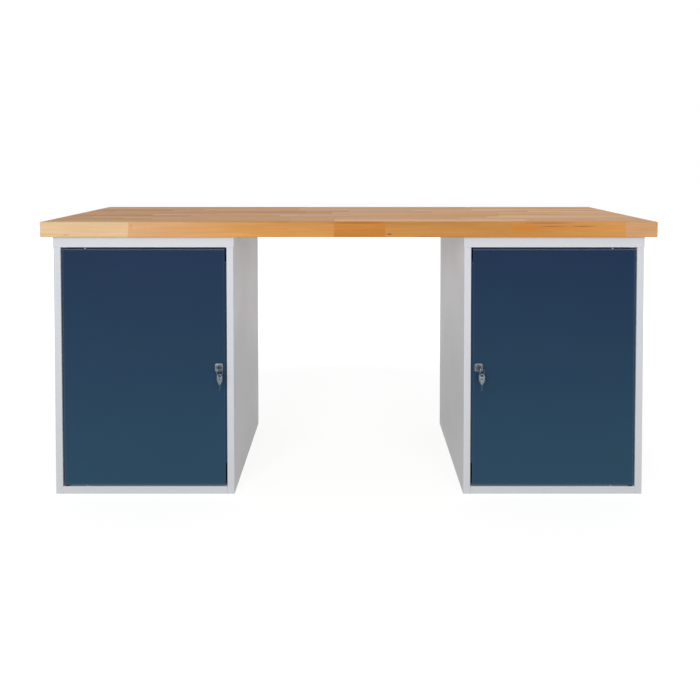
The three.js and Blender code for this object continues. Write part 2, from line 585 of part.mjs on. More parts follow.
  const nutCorners = Array.from({ length: NUT_CORNERS }, (_, corner) => {
    const angle = (corner * 2 * Math.PI) / NUT_CORNERS;
    const reach = NUT_ACROSS_FLATS / 2 / Math.cos(Math.PI / NUT_CORNERS);
    return new THREE.Vector2(lockX + reach * Math.cos(angle), LOCK_Z + reach * Math.sin(angle));
  });
  const nutShape = new THREE.Shape(nutCorners);
  nutShape.holes.push(disc(lockX, LOCK_Z, BARREL_DIAMETER + 2 * FIT, THREE.Path));
  const nutSeat = FRONT + DOOR_SHEET + FIT;
  put('lock_nut', alongY(nutShape, [nutSeat, nutSeat + NUT_HEIGHT], ROUND_STEPS), zinc);

  // Plug with its keyway and square tail, the cam on the tail, and the key in the keyway
  const plugFront = roseFront - FIT;
  const camFront = lockBack + FIT;
  const camBack = camFront + CAM_THICKNESS;
  const square = (size) => [[lockX - size / 2, lockX + size / 2], [LOCK_Z - size / 2, LOCK_Z + size / 2]];
  const tail = alongY(roundedRectangle(...square(CAM_SQUARE), FIT), [lockBack - SHEET, camBack]);
  const plugRound = alongY(disc(lockX, LOCK_Z, PLUG_DIAMETER), [plugFront, lockBack], ROUND_STEPS);
  const keyway = block(
    [lockX - KEY_THICKNESS / 2 - KEYWAY_GAP, lockX + KEY_THICKNESS / 2 + KEYWAY_GAP],
    [plugFront - SHEET, plugFront + BLADE_LENGTH + KEYWAY_GAP],
    [LOCK_Z - BLADE_WIDTH / 2 - KEYWAY_GAP, LOCK_Z + BLADE_WIDTH / 2 + KEYWAY_GAP],
  );
  put('lock_plug', cut(joined(plugRound, tail), keyway), zinc);

  // The cam hangs clear of the stile while the lock is open, on the side from which it turns behind the lip
  const camDown = end;
  const camZ = [LOCK_Z - camDown * CAM_WIDTH / 2, LOCK_Z + camDown * CAM_REACH].sort((a, b) => a - b);
  const camShape = roundedRectangle([lockX - CAM_WIDTH / 2, lockX + CAM_WIDTH / 2], camZ, CAM_WIDTH / 4);
  camShape.holes.push(roundedRectangle(...square(CAM_SQUARE + 2 * FIT), FIT, THREE.Path));
  put('lock_cam', alongY(camShape, [camFront, camBack]), zinc);

  const keyX = new THREE.Vector3(0, 1, 0);
  const keyShoulder = new THREE.Vector3(lockX, plugFront - FIT, LOCK_Z);
  const up = new THREE.Vector3(0, 0, 1);
  put('key', keyAt([keyX, up, new THREE.Vector3(1, 0, 0)], keyShoulder), nickel);

  // Ring through the key's slot, slanting so that the key can turn in it; the spare key hangs from the ring
  const slotCentre = keyShoulder.clone().addScaledVector(keyX, KEY_SLOT_X);
  const radians = THREE.MathUtils.degToRad;
  const ringAcross = new THREE.Vector3(Math.cos(radians(RING_TURN)), Math.sin(radians(RING_TURN)), 0);
  const ringCentre = slotCentre.clone()
    .addScaledVector(ringAcross, RING_RADIUS * Math.sin(radians(RING_SLANT)))
    .addScaledVector(up, -RING_RADIUS * Math.cos(radians(RING_SLANT)));
  const ring = new THREE.TorusGeometry(RING_RADIUS, RING_WIRE_DIAMETER / 2, WIRE_STEPS, RING_STEPS);
  const ringNormal = new THREE.Vector3().crossVectors(ringAcross, up);
  ring.applyMatrix4(new THREE.Matrix4().makeBasis(ringAcross, up, ringNormal).setPosition(ringCentre));
  put('key_ring', solidOf(ring), nickel);

  const spareNormal = new THREE.Vector3(Math.cos(radians(SPARE_TURN)), Math.sin(radians(SPARE_TURN)), 0);
  const down = new THREE.Vector3(0, 0, -1);
  const slotBelowWire = BOW_SLOT_WIDTH / 2 - RING_WIRE_DIAMETER / 2 - RING_PLAY;
  const spareShoulder = ringCentre.clone().addScaledVector(down, RING_RADIUS + slotBelowWire - KEY_SLOT_X);
  const spareAxes = [down, new THREE.Vector3().crossVectors(spareNormal, down), spareNormal];
  put('spare_key', keyAt(spareAxes, spareShoulder), nickel);
}

buildCabinet('left', -1);
buildCabinet('right', 1);

export default bench;
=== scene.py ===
# %% [markdown]
# # A workbench with two lockable cabinets
# The bench is a thick beech worktop on two folded-steel cabinets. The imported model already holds
# every piece at its real size, so this lesson only dresses it: each step looks at one piece or
# finish of the real bench, says how it could be made in Blender, and why one way was picked.

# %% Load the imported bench
import json
import math
import random

import bmesh
import bpy
from mathutils import Matrix, Vector


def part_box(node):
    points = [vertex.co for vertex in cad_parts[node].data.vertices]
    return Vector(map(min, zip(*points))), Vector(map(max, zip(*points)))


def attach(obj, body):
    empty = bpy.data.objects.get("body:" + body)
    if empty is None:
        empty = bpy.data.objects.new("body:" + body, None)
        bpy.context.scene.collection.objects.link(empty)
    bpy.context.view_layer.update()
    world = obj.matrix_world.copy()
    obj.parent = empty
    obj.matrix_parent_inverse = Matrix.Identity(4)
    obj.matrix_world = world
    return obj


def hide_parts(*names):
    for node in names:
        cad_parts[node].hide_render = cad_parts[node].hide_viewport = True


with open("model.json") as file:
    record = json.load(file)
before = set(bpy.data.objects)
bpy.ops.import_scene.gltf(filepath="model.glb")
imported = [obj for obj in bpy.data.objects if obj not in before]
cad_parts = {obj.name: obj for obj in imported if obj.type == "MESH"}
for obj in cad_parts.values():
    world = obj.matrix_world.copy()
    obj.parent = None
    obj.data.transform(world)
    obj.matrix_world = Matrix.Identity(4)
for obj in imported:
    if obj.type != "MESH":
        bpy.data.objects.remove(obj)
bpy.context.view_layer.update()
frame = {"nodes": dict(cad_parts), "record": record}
SIDES = ("left", "right")

# %% [markdown]
# ## The camera
# The photograph looks straight at the doors from a little above the worktop, and its upright edges
# stay upright. Tilting the camera down would make them lean, so most of the downward look comes
# from the lens shift, as with a view camera, and only a slight tilt is left so that the other
# views stay in frame.

# %% Stand the camera where the photographer stood
IMAGE_SIZE = 700
FOCAL_PIXELS = 749.0
SENSOR_WIDTH = 36.0
CAMERA_DISTANCE = 2.416
EYE_ABOVE_TOP = 0.217
CAMERA_X = 0.0038
TILT_DOWN = math.radians(1.7)
LENS_SHIFT = -0.2471


def add_object(name, data):
    item = bpy.data.objects.new(name, data)
    bpy.context.collection.objects.link(item)
    return item


worktop_low, worktop_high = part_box("worktop")
camera_data = bpy.data.cameras.new("camera")
camera_data.sensor_width = SENSOR_WIDTH
camera_data.lens = FOCAL_PIXELS / IMAGE_SIZE * SENSOR_WIDTH
camera_data.shift_y = LENS_SHIFT
camera = add_object("camera", camera_data)
camera.location = (CAMERA_X, worktop_low.y - CAMERA_DISTANCE, worktop_high.z + EYE_ABOVE_TOP)
camera.rotation_euler = (math.pi / 2 - TILT_DOWN, 0, 0)
bpy.context.scene.camera = camera
bpy.context.scene.view_settings.view_transform = "Standard"
print("lens", round(camera_data.lens, 2), "mm, shift", round(camera_data.shift_y, 3))

# %% [markdown]
# ## Helpers for node trees
# Shader and geometry trees are built the same way: make a node, set its options, then fill each
# input with a plain value or with a link from another node. A socket knows its tree, so a helper
# that gets one needs no other hint where to put the next node, and recipes read like formulas.


# %% Node helpers
def wire(node, inputs):
    """Fills a node's inputs: a socket is linked, anything else is set as a value."""
    for name, value in inputs.items():
        if isinstance(value, bpy.types.NodeSocket):
            node.id_data.links.new(value, node.inputs[name])
        else:
            node.inputs[name].default_value = value


def add_node(kind, inputs, tree=None, **options):
    """Adds a node to a tree, or else to the tree that its linked inputs come from."""
    if tree is None:
        tree = next(v.id_data for v in inputs.values() if isinstance(v, bpy.types.NodeSocket))
    node = tree.nodes.new(kind)
    for name, value in options.items():
        setattr(node, name, value)
    wire(node, inputs)
    return node


def math_node(operation, first, second=0.0):
    return add_node("ShaderNodeMath", {0: first, 1: second}, operation=operation).outputs[0]


def plus(first, second):
    return math_node("ADD", first, second)


def minus(first, second):
    return math_node("SUBTRACT", first, second)


def times(first, second):
    return math_node("MULTIPLY", first, second)


def vector_math(operation, first, second=(0, 0, 0)):
    node = add_node("ShaderNodeVectorMath", {0: first, 1: second}, operation=operation)
    return node.outputs["Value" if operation in ("LENGTH", "DOT_PRODUCT") else "Vector"]


def remap(value, low, high, to_low=0.0, to_high=1.0):
    limits = {"From Min": low, "From Max": high, "To Min": to_low, "To Max": to_high}
    return add_node("ShaderNodeMapRange", {"Value": value, **limits}).outputs["Result"]


def axes_of(vector):
    return add_node("ShaderNodeSeparateXYZ", {"Vector": vector}).outputs


def object_coordinates(tree):
    return tree.nodes.new("ShaderNodeTexCoord").outputs["Object"]


# %% Helpers for noise and colour
def noise(vector, scale, detail, roughness=0.5, distortion=0.0):
    settings = {"Scale": scale, "Detail": detail, "Roughness": roughness, "Distortion": distortion}
    return add_node("ShaderNodeTexNoise", {"Vector": vector, **settings}).outputs["Fac"]


def centred(value, strength=1.0):
    """Noise lies round a half; this turns it into a swing round zero."""
    return times(minus(value, 0.5), strength)


def mix_color(factor, first, second, blend="MIX"):
    """The Mix node has sockets for every kind of data; 6, 7 and output 2 are the colours."""
    sockets = {0: factor, 6: first, 7: second}
    return add_node("ShaderNodeMix", sockets, data_type="RGBA", blend_type=blend).outputs[2]


def tinted(colour, red, green, blue):
    """Multiplies the channels of a colour."""
    tint = add_node("ShaderNodeCombineColor", {"Red": red, "Green": green, "Blue": blue})
    return mix_color(1.0, colour, tint.outputs[0], blend="MULTIPLY")


def srgb(red, green, blue):
    """An sRGB colour, 0 to 255, as the linear colour that a shader socket takes."""
    def linear(value):
        share = value / 255
        return share / 12.92 if share <= 0.04045 else ((share + 0.055) / 1.055) ** 2.4
    return (linear(red), linear(green), linear(blue), 1.0)


# %% Helpers for groups and materials
NUMBER, COLOUR, VECTOR = "NodeSocketFloat", "NodeSocketColor", "NodeSocketVector"
GEOMETRY, MATERIAL = "NodeSocketGeometry", "NodeSocketMaterial"
SKIN_OUTPUTS = {"Color": COLOUR, "Roughness": NUMBER, "Height": NUMBER}
SOFT_EDGE_SAMPLES = 6


def shader_group(name, inputs, outputs):
    """inputs: each label with the value it starts from; outputs: each label with its kind."""
    tree = bpy.data.node_groups.new(name, "ShaderNodeTree")
    for label, start in inputs.items():
        kind = COLOUR if isinstance(start, tuple) else NUMBER
        tree.interface.new_socket(label, in_out="INPUT", socket_type=kind).default_value = start
    for label, kind in outputs.items():
        tree.interface.new_socket(label, in_out="OUTPUT", socket_type=kind)
    return tree, tree.nodes.new("NodeGroupInput").outputs, tree.nodes.new("NodeGroupOutput")


def new_material(name):
    material = bpy.data.materials.new(name)
    material.use_nodes = True
    tree = material.node_tree
    return material, tree, tree.nodes["Principled BSDF"]


def wear_skin(shader, skin, strength, depth, edge_radius=0.0, invert=False):
    """Puts a skin's colour, roughness and height on a shader; a radius softens the edges too."""
    bump = {"Strength": strength, "Distance": depth, "Height": skin["Height"]}
    if edge_radius:
        settings = {"Radius": edge_radius}
        edge = add_node("ShaderNodeBevel", settings, shader.id_data, samples=SOFT_EDGE_SAMPLES)
        bump["Normal"] = edge.outputs[0]
    normal = add_node("ShaderNodeBump", bump, invert=invert).outputs[0]
    wire(shader, {"Base Color": skin["Color"], "Roughness": skin["Roughness"], "Normal": normal})


# %% [markdown]
# ## Light and floor
# The photograph is a catalogue picture: white all round, with soft light that falls mostly from
# the front and above. A bright even world gives that wrap-around light. Rays that look at the
# world itself meet a plain white backdrop, so the light can be dimmer than the white behind it.

# %% The white world
WHITE = (1, 1, 1, 1)
WORLD_LIGHT, BACKDROP_LIGHT = 0.46, 1.0

world = bpy.data.worlds.new("studio")
bpy.context.scene.world = world
world.use_nodes = True
sky = world.node_tree
sky.nodes.clear()
rays = sky.nodes.new("ShaderNodeLightPath").outputs
seen = math_node("MAXIMUM", rays["Is Camera Ray"], rays["Is Transmission Ray"])
seen = math_node("MAXIMUM", seen, rays["Is Glossy Ray"])
light = add_node("ShaderNodeBackground", {"Color": WHITE, "Strength": WORLD_LIGHT}, sky)
backdrop = add_node("ShaderNodeBackground", {"Color": WHITE, "Strength": BACKDROP_LIGHT}, sky)
choice = add_node("ShaderNodeMixShader", {0: seen, 1: light.outputs[0], 2: backdrop.outputs[0]})
add_node("ShaderNodeOutputWorld", {"Surface": choice.outputs[0]})
print("world light", WORLD_LIGHT)

# %% [markdown]
# Two softboxes in front of the doors model the faces. The left one is stronger and a trace cooler,
# because the left cabinet is the lighter one in the photograph.

# %% Two softboxes
SOFTBOX_SIZE = (2.2, 2.4)
SOFTBOX_AIM = Vector((0, 0, 0.45))
SOFTBOXES = {
    # place, power in watts, colour
    "left_softbox": ((-1.8, -5.0, 1.7), 97, (0.97, 0.985, 1.0)),
    "right_softbox": ((1.8, -5.0, 1.7), 62, (1.0, 0.995, 0.985)),
}
for name, (place, power, colour) in SOFTBOXES.items():
    lamp_data = bpy.data.lights.new(name, "AREA")
    lamp_data.shape = "RECTANGLE"
    lamp_data.size, lamp_data.size_y = SOFTBOX_SIZE
    lamp_data.energy = power
    lamp_data.color = colour
    lamp = add_object(name, lamp_data)
    lamp.location = place
    lamp.rotation_euler = (SOFTBOX_AIM - Vector(place)).to_track_quat("-Z", "Y").to_euler()
    print(name, power, "W")

# %% [markdown]
# The floor takes a soft contact shadow under the bench and fades to the white of the backdrop
# further out, so that no horizon shows. It glows only for rays that look at it, so that it lights
# the bench no more than a white floor would.

# %% The floor
FLOOR_HALF = 9.0
FLOOR_WHITE, FLOOR_ROUGHNESS = 0.74, 0.9
FLOOR_GLOW = 1.36
GLOW_NEAR, GLOW_FAR = 0.62, 1.0
GLOW_STARTS, GLOW_ENDS = 1.1, 2.6

floor_mesh = bpy.data.meshes.new("floor")
corners = [(x * FLOOR_HALF, y * FLOOR_HALF, 0.0) for x, y in ((-1, -1), (1, -1), (1, 1), (-1, 1))]
floor_mesh.from_pydata(corners, [], [(0, 1, 2, 3)])
floor = add_object("floor", floor_mesh)
floor_paint, tree, shader = new_material("floor")
wire(shader, {
    "Base Color": (FLOOR_WHITE, FLOOR_WHITE, FLOOR_WHITE, 1), "Roughness": FLOOR_ROUGHNESS,
    "Specular IOR Level": 0.0,
})
rays = tree.nodes.new("ShaderNodeLightPath").outputs
seen = math_node("MAXIMUM", rays["Is Camera Ray"], rays["Is Glossy Ray"])
from_bench = vector_math("LENGTH", object_coordinates(tree))
glow_share = times(remap(from_bench, GLOW_STARTS, GLOW_ENDS, GLOW_NEAR, GLOW_FAR), seen)
glow = add_node("ShaderNodeEmission", {"Color": WHITE, "Strength": FLOOR_GLOW}, tree)
mix = add_node("ShaderNodeMixShader", {0: glow_share, 1: shader.outputs[0], 2: glow.outputs[0]})
wire(tree.nodes["Material Output"], {"Surface": mix.outputs[0]})
floor_mesh.materials.append(floor_paint)
print("floor", 2 * FLOOR_HALF, "m square")

# %% [markdown]
# ## Powder-coated steel
# The cabinets and doors are powder coated: a satin skin with a fine orange-peel ripple, a trace of
# mottling from the spray and softly rounded folds. Both paints share one shader group for the
# ripple and the mottling; only the colour and the strength differ.

# %% The paint skin group
RIPPLE_SCALE, CLOUD_SCALE, GRIT_SCALE = 650.0, 5.0, 1900.0
CLOUD_ROUGHNESS = 0.6
GRIT_SHARE = 0.6
UNEVEN_GLOSS = 0.18

paint_skin, given, out = shader_group(
    "paint_skin", {"Color": (0.8, 0.8, 0.8, 1), "Mottle": 0.04, "Base Roughness": 0.4}, SKIN_OUTPUTS)
place = object_coordinates(paint_skin)
shade = centred(noise(place, CLOUD_SCALE, detail=4.0, roughness=CLOUD_ROUGHNESS))
speck = centred(noise(place, GRIT_SCALE, detail=1.0), GRIT_SHARE)
value = plus(times(plus(shade, speck), given["Mottle"]), 1.0)
wire(out, {
    "Color": tinted(given["Color"], value, value, value),
    "Roughness": plus(given["Base Roughness"], times(shade, UNEVEN_GLOSS)),
    "Height": noise(place, RIPPLE_SCALE, detail=2.0),
})
print("group", paint_skin.name, len(paint_skin.nodes), "nodes")

# %% [markdown]
# Along a fold the rounded sheet catches the light, so the photograph shows a pale line along the
# frame. Here that line is a painted highlight: a paler colour mixed into the paint along the folds.
# On the doors the painted highlight is strongest along the upper fold, weaker on the hinge side and
# absent on the lock side. A Bevel node knows where edges are: where its rounded normal turns away
# from the face's own normal, an edge is near, and the rounded normal says which way the fold looks:
# up, or outwards when its X has the sign of the place's own X. It is read in the piece's own frame,
# so that an open door keeps its lines. Both become a mask in a second group.

# %% The painted fold highlight group
EDGE_SAMPLES = 8
EDGE_BEGINS, EDGE_FULL = 0.998, 0.93
LOOKS_ASIDE = 0.25
LOOKS_LEVEL, LOOKS_UP = 0.02, 0.25
GREY_FOLD_HIGHLIGHT = {"Radius": 0.003, "Inner Folds": 1.0, "Outer Folds": 1.0}

painted_fold_highlight, given, out = shader_group("painted_fold_highlight", GREY_FOLD_HIGHLIGHT, {"Mask": NUMBER})
rounded = add_node("ShaderNodeBevel", {"Radius": given["Radius"]}, samples=EDGE_SAMPLES).outputs[0]
flat = painted_fold_highlight.nodes.new("ShaderNodeNewGeometry").outputs["True Normal"]
near_edge = remap(vector_math("DOT_PRODUCT", rounded, flat), EDGE_BEGINS, EDGE_FULL)
own_frame = add_node("ShaderNodeVectorTransform", {"Vector": rounded}, vector_type="NORMAL",
                     convert_from="WORLD", convert_to="OBJECT")
looks = axes_of(own_frame.outputs[0])
side_of_bench = math_node("SIGN", axes_of(object_coordinates(painted_fold_highlight))["X"])
outward = times(looks["X"], side_of_bench)
share = remap(outward, -LOOKS_ASIDE, LOOKS_ASIDE, given["Inner Folds"], given["Outer Folds"])
share = remap(looks["Z"], LOOKS_LEVEL, LOOKS_UP, share, 1.0)
# the mask says where the painted highlight along the folds goes
wire(out, {"Mask": times(near_edge, share)})
print("group", painted_fold_highlight.name, len(painted_fold_highlight.nodes), "nodes")

# %% [markdown]
# The two paints place both groups. The colour also drifts slightly from head to foot, which is
# painted light: a painted shade makes the grey a little darker at its foot, and a painted sheen
# makes the blue paler and greener there. The ripple becomes a bump, and a Bevel node softens the
# folds, because a folded sheet never has a razor edge. The coat over the welds is the grey one
# without the painted fold highlights, so that the welds stay hidden.

# %% The grey and the blue paint
FOLD_RADIUS = 0.0007
RIPPLE_STRENGTH, RIPPLE_HEIGHT = 0.6, 0.00006


def painted_steel(name, colours, fold_line, roughness, mottle, gloss):
    """colours: at the cabinet's head and foot, which differ by painted light, and of the painted fold
    highlight; fold_line: a fold's inputs.
    """
    material, tree, shader = new_material(name)
    head, foot, fold = colours
    # painted light: the colour drifts from head to foot, and the fold colour mixed in below is a
    # painted highlight
    painted_light_drift = remap(axes_of(object_coordinates(tree))["Z"], worktop_low.z, 0.0)
    edge = add_node("ShaderNodeGroup", fold_line, tree, node_tree=painted_fold_highlight)
    colour = mix_color(edge.outputs["Mask"], mix_color(painted_light_drift, head, foot), fold)
    settings = {"Color": colour, "Mottle": mottle, "Base Roughness": roughness}
    skin = add_node("ShaderNodeGroup", settings, node_tree=paint_skin).outputs
    wear_skin(shader, skin, RIPPLE_STRENGTH, RIPPLE_HEIGHT, FOLD_RADIUS)
    wire(shader, {"Specular IOR Level": gloss})
    return material


# each: the colour at the head and at the foot, which differ by painted light, and the painted fold
# highlight
GREY_COLOURS = (srgb(208, 211, 217), srgb(206, 208, 210), srgb(230, 236, 247))
BLUE_COLOURS = (srgb(13, 39, 70), srgb(42, 73, 94), srgb(94, 112, 138))
NO_FOLD_HIGHLIGHT = dict.fromkeys(GREY_FOLD_HIGHLIGHT, 0.0)
BLUE_FOLD_HIGHLIGHT = {"Radius": 0.006, "Inner Folds": 0.0, "Outer Folds": 0.45}
GREY_FINISH = {"roughness": 0.42, "mottle": 0.05, "gloss": 0.35}
BLUE_FINISH = {"roughness": 0.40, "mottle": 0.10, "gloss": 0.11}
grey_paint = painted_steel("light_grey_powder_coat", GREY_COLOURS, GREY_FOLD_HIGHLIGHT, **GREY_FINISH)
weld_paint = painted_steel("light_grey_coat_over_welds", GREY_COLOURS, NO_FOLD_HIGHLIGHT, **GREY_FINISH)
blue_paint = painted_steel("dark_blue_powder_coat", BLUE_COLOURS, BLUE_FOLD_HIGHLIGHT, **BLUE_FINISH)
print("paints", grey_paint.name, "and", blue_paint.name)

# %% [markdown]
# ## Plated metal and nylon
# The lock, keys, clips and hinge plates are plated steel or die-cast zinc. Plating is never even:
# it is slightly cloudy and carries fine scratches from handling. One group gives both, and each
# metal sets how much.

# %% The handled metal group
TARNISH_SCALE = 220.0
TARNISH_GLOSS = 0.25
SCRATCH_TURN, SCRATCH_SCALE = (0.3, 0.5, 0.8), (300.0, 4200.0, 4200.0)
SCRATCH_BEGINS, SCRATCH_FULL = 0.62, 0.72

METAL_INPUTS = {"Color": (0.7, 0.7, 0.7, 1), "Cloud": 0.1, "Base Roughness": 0.3, "Scratches": 0.2}
handled_metal, given, out = shader_group("handled_metal", METAL_INPUTS, SKIN_OUTPUTS)
place = object_coordinates(handled_metal)
stretch = add_node("ShaderNodeMapping",
                   {"Vector": place, "Rotation": SCRATCH_TURN, "Scale": SCRATCH_SCALE})
scratch = remap(noise(stretch.outputs[0], 1.0, detail=3.0), SCRATCH_BEGINS, SCRATCH_FULL)
uneven = centred(noise(place, TARNISH_SCALE, detail=4.0))
value = plus(times(uneven, given["Cloud"]), 1.0)
rough = plus(given["Base Roughness"], times(uneven, TARNISH_GLOSS))
wire(out, {
    "Color": tinted(given["Color"], value, value, value),
    "Roughness": plus(rough, times(scratch, given["Scratches"])),
    "Height": scratch,
})
print("group", handled_metal.name, len(handled_metal.nodes), "nodes")

# %% The plated metals
METAL_EDGE = 0.0004
SCRATCH_STRENGTH, SCRATCH_DEPTH = 0.25, 0.00003


def plated_metal(name, colour, roughness, cloud, scratches):
    material, tree, shader = new_material(name)
    settings = {"Color": colour, "Cloud": cloud, "Base Roughness": roughness, "Scratches": scratches}
    skin = add_node("ShaderNodeGroup", settings, tree, node_tree=handled_metal).outputs
    wear_skin(shader, skin, SCRATCH_STRENGTH, SCRATCH_DEPTH, METAL_EDGE, invert=True)
    wire(shader, {"Metallic": 1.0})
    return material


# colour, roughness, cloud, scratches
ZINC_PLATING = (srgb(186, 188, 190), 0.36, 0.3, 0.2)
die_cast_zinc = plated_metal("die_cast_zinc", srgb(118, 126, 134), 0.30, 0.25, 0.15)
plug_brass = plated_metal("worn_plug_brass", srgb(108, 108, 110), 0.36, 0.35, 0.25)
zinc_plate = plated_metal("zinc_plated_steel", *ZINC_PLATING)
nickel_plate = plated_metal("nickel_plated_keys", srgb(110, 119, 126), 0.30, 0.3, 0.3)
blade_steel = plated_metal("darker_blade_steel", srgb(60, 77, 92), 0.42, 0.3, 0.4)
print("metals", zinc_plate.name, "and", nickel_plate.name)

# %% [markdown]
# The hinge plates are zinc plated too. Their pivot pins sit in the shade of the door gaps, and that
# shade is painted on them: they are nearly black. The pins stand on the doors' swing axes, so the
# painted shade is a mask of the distance from the axis. The bushes that they turn in are dark nylon,
# a little blotchy.

# %% Hinge plates with painted shade on the pins, and nylon bushes
# the pins' painted shade: its colour and the reach of its mask round the swing axis
PIN_SHADE_BLACK = srgb(24, 24, 25)
PIN_SHADE_INNER, PIN_SHADE_OUTER = 0.0050, 0.0065
LEVEL = (1, 1, 0)
NYLON_PALE, NYLON_DARK = srgb(92, 94, 98), srgb(74, 76, 80)
NYLON_SCALE, NYLON_ROUGHNESS = 300.0, 0.48

joint_places = {joint["name"]: joint["pos_m"] for joint in frame["record"]["behaviour"]["joints"]}
axis_x, axis_y, _ = joint_places["right_door_swing"]
pin_shaded_zinc = plated_metal("hinge_zinc_with_painted_pin_shade", *ZINC_PLATING)
tree = pin_shaded_zinc.node_tree
shader = tree.nodes["Principled BSDF"]
bare_zinc = shader.inputs["Base Color"].links[0].from_socket
mirrored = vector_math("ABSOLUTE", object_coordinates(tree))
from_axis = vector_math("SUBTRACT", mirrored, (abs(axis_x), abs(axis_y), 0.0))
reach = vector_math("LENGTH", vector_math("MULTIPLY", from_axis, LEVEL))
# painted shade: the pivot pins turn nearly black and lose their metal
painted_pin_shade = remap(reach, PIN_SHADE_OUTER, PIN_SHADE_INNER)
pin_shaded_colour = mix_color(painted_pin_shade, bare_zinc, PIN_SHADE_BLACK)
wire(shader, {"Base Color": pin_shaded_colour, "Metallic": minus(1.0, painted_pin_shade)})

nylon, tree, shader = new_material("dark_grey_nylon")
blotches = noise(object_coordinates(tree), NYLON_SCALE, detail=3.0)
nylon_colour = mix_color(blotches, NYLON_PALE, NYLON_DARK)
wire(shader, {"Base Color": nylon_colour, "Roughness": NYLON_ROUGHNESS})
print("hinges wear", pin_shaded_zinc.name, "and", nylon.name)

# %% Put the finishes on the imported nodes
NODE_FINISH = {
    "cap": grey_paint, "side_panel": grey_paint, "floor_pan": grey_paint, "back_panel": grey_paint,
    "shelf": grey_paint, "shelf_strip": grey_paint, "shelf_clip": zinc_plate, "door": blue_paint,
    "door_rib": blue_paint, "hinge_plate": pin_shaded_zinc, "hinge_bush": nylon,
    "lock_nut": zinc_plate, "lock_plug": plug_brass, "lock_cam": zinc_plate,
}
finished = 0
for name, node in frame["nodes"].items():
    matches = [ending for ending in NODE_FINISH if name.endswith("_" + ending)]
    if matches:
        node.data.materials.clear()
        node.data.materials.append(NODE_FINISH[max(matches, key=len)])
        finished += 1
print("finished nodes", finished)

# %% [markdown]
# ## The beech worktop
# The top is glued up from beech staves: narrow rows across the depth, each row made of boards of
# odd lengths, so that no two joints line up. The front edge shows one row at full height. A flat
# texture could fake that, but here the slab's mesh is cut along the joints and every stave carries
# its own tone, shade and grain offset as attributes. So a board's tone and grain run on from the
# top over to the front edge, and only its shade may differ between the two. In the front row the
# top's shade, mostly paler than the edge's, is painted light: a pale band along the top's front.

# %% Lay out the staves
STAVE_ROWS = 16
FRONT_ROWS = (
    # the two rows in front: each stave's right end, tones at both ends, shade, shade of its top
    # (in the front row the top's shade holds painted light)
    (
        (-0.714, (0.06, 0.10), 0.95, 0.85), (-0.194, (0.33, 0.72), 0.94, 0.94),
        (-0.048, (0.68, 0.70), 0.92, 1.02), (0.118, (0.97, 0.97), 0.98, 1.42),
        (0.530, (0.72, 0.74), 0.84, 1.25), (0.896, (0.84, 0.72), 0.94, 1.22),
        (worktop_high.x, (0.38, 0.40), 0.86, 1.05),
    ),
    (
        (-0.610, (0.50, 0.55), 0.88, 0.88), (-0.048, (0.58, 0.46), 0.98, 0.98),
        (0.585, (0.16, 0.20), 1.30, 1.30), (worktop_high.x, (0.44, 0.40), 1.14, 1.14),
    ),
)
SHORTEST_OFFCUT, SHORTEST_STAVE, LONGEST_STAVE = 0.10, 0.28, 0.62
PALEST_TONE, DARKEST_TONE = 0.26, 0.80
TONE_DRIFT, TONE_CHANGE = 0.14, 0.12
MEAN_SHADE, SHADE_DRIFT, SHADE_SPREAD = 1.09, 0.13, 0.05
RANDOM_SEED = 11
uniform = random.Random(RANDOM_SEED).uniform


def guessed_staves(left, right):
    """A row of boards; a board's tone drifts along it, and those at the right are a little paler."""
    ends = [left]
    place = left + uniform(SHORTEST_OFFCUT, LONGEST_STAVE)
    while place < right - SHORTEST_STAVE / 2:
        ends.append(place)
        place += uniform(SHORTEST_STAVE, LONGEST_STAVE)
    ends.append(right)
    middles = [(near + far) / 2 for near, far in zip(ends, ends[1:])]
    tones = [uniform(PALEST_TONE, DARKEST_TONE) - TONE_DRIFT * x for x in middles]
    tones = [(tone - uniform(0, TONE_CHANGE), tone + uniform(0, TONE_CHANGE)) for tone in tones]
    shades = [MEAN_SHADE + SHADE_DRIFT * x + uniform(-SHADE_SPREAD, SHADE_SPREAD) for x in middles]
    return list(zip(ends[1:], tones, shades, shades))


stave_rows = []
for number in range(STAVE_ROWS):
    if number < len(FRONT_ROWS):
        staves = FRONT_ROWS[number]
    else:
        staves = guessed_staves(worktop_low.x, worktop_high.x)
    left_ends = [worktop_low.x] + [stave[0] for stave in staves]
    stave_rows.append([(left, *stave) for left, stave in zip(left_ends, staves)])
print("staves", sum(len(row) for row in stave_rows))

# %% [markdown]
# The slab is one closed mesh. Each stave is a polygon on the top and on the underside; a polygon
# takes in the joints of its neighbours along its long sides, so the faces meet without gaps. The
# ends show end grain.


# %% Outline the faces of a stave
def line_points(rows, number):
    """Every joint on the glue line in front of a row, from left to right."""
    joints = set()
    for row in rows[max(number - 1, 0):number + 1]:
        joints.update(x for stave in row for x in stave[:2])
    return sorted(joints)


def stave_faces(low, high, rows, number, index):
    """The faces that show: their corners, whether end grain shows, and whether they are on top."""
    left, right = rows[number][index][:2]
    front, back = (low.y + (high.y - low.y) * line / len(rows) for line in (number, number + 1))
    near = [x for x in line_points(rows, number) if left <= x <= right]
    far = [x for x in line_points(rows, number + 1) if left <= x <= right]
    top = [(x, front, high.z) for x in near] + [(x, back, high.z) for x in reversed(far)]
    faces = [(top, False, True), ([(x, y, low.z) for x, y, _ in reversed(top)], False, False)]
    if number == 0:
        lower = [(x, front, low.z) for x in near]
        upper = [(x, front, high.z) for x in reversed(near)]
        faces.append((lower + upper, False, False))
    if number == len(rows) - 1:
        upper = [(x, back, high.z) for x in far]
        lower = [(x, back, low.z) for x in reversed(far)]
        faces.append((upper + lower, False, False))
    for x, is_end in ((low.x, index == 0), (high.x, index == len(rows[number]) - 1)):
        if is_end:
            end = [(x, front, low.z), (x, front, high.z), (x, back, high.z), (x, back, low.z)]
            faces.append((end if x == low.x else end[::-1], True, False))
    return faces


# %% Build the slab
ROW_SEED, STAVE_SEED = 1.37, 0.61
ROUNDING_DIGITS = 6


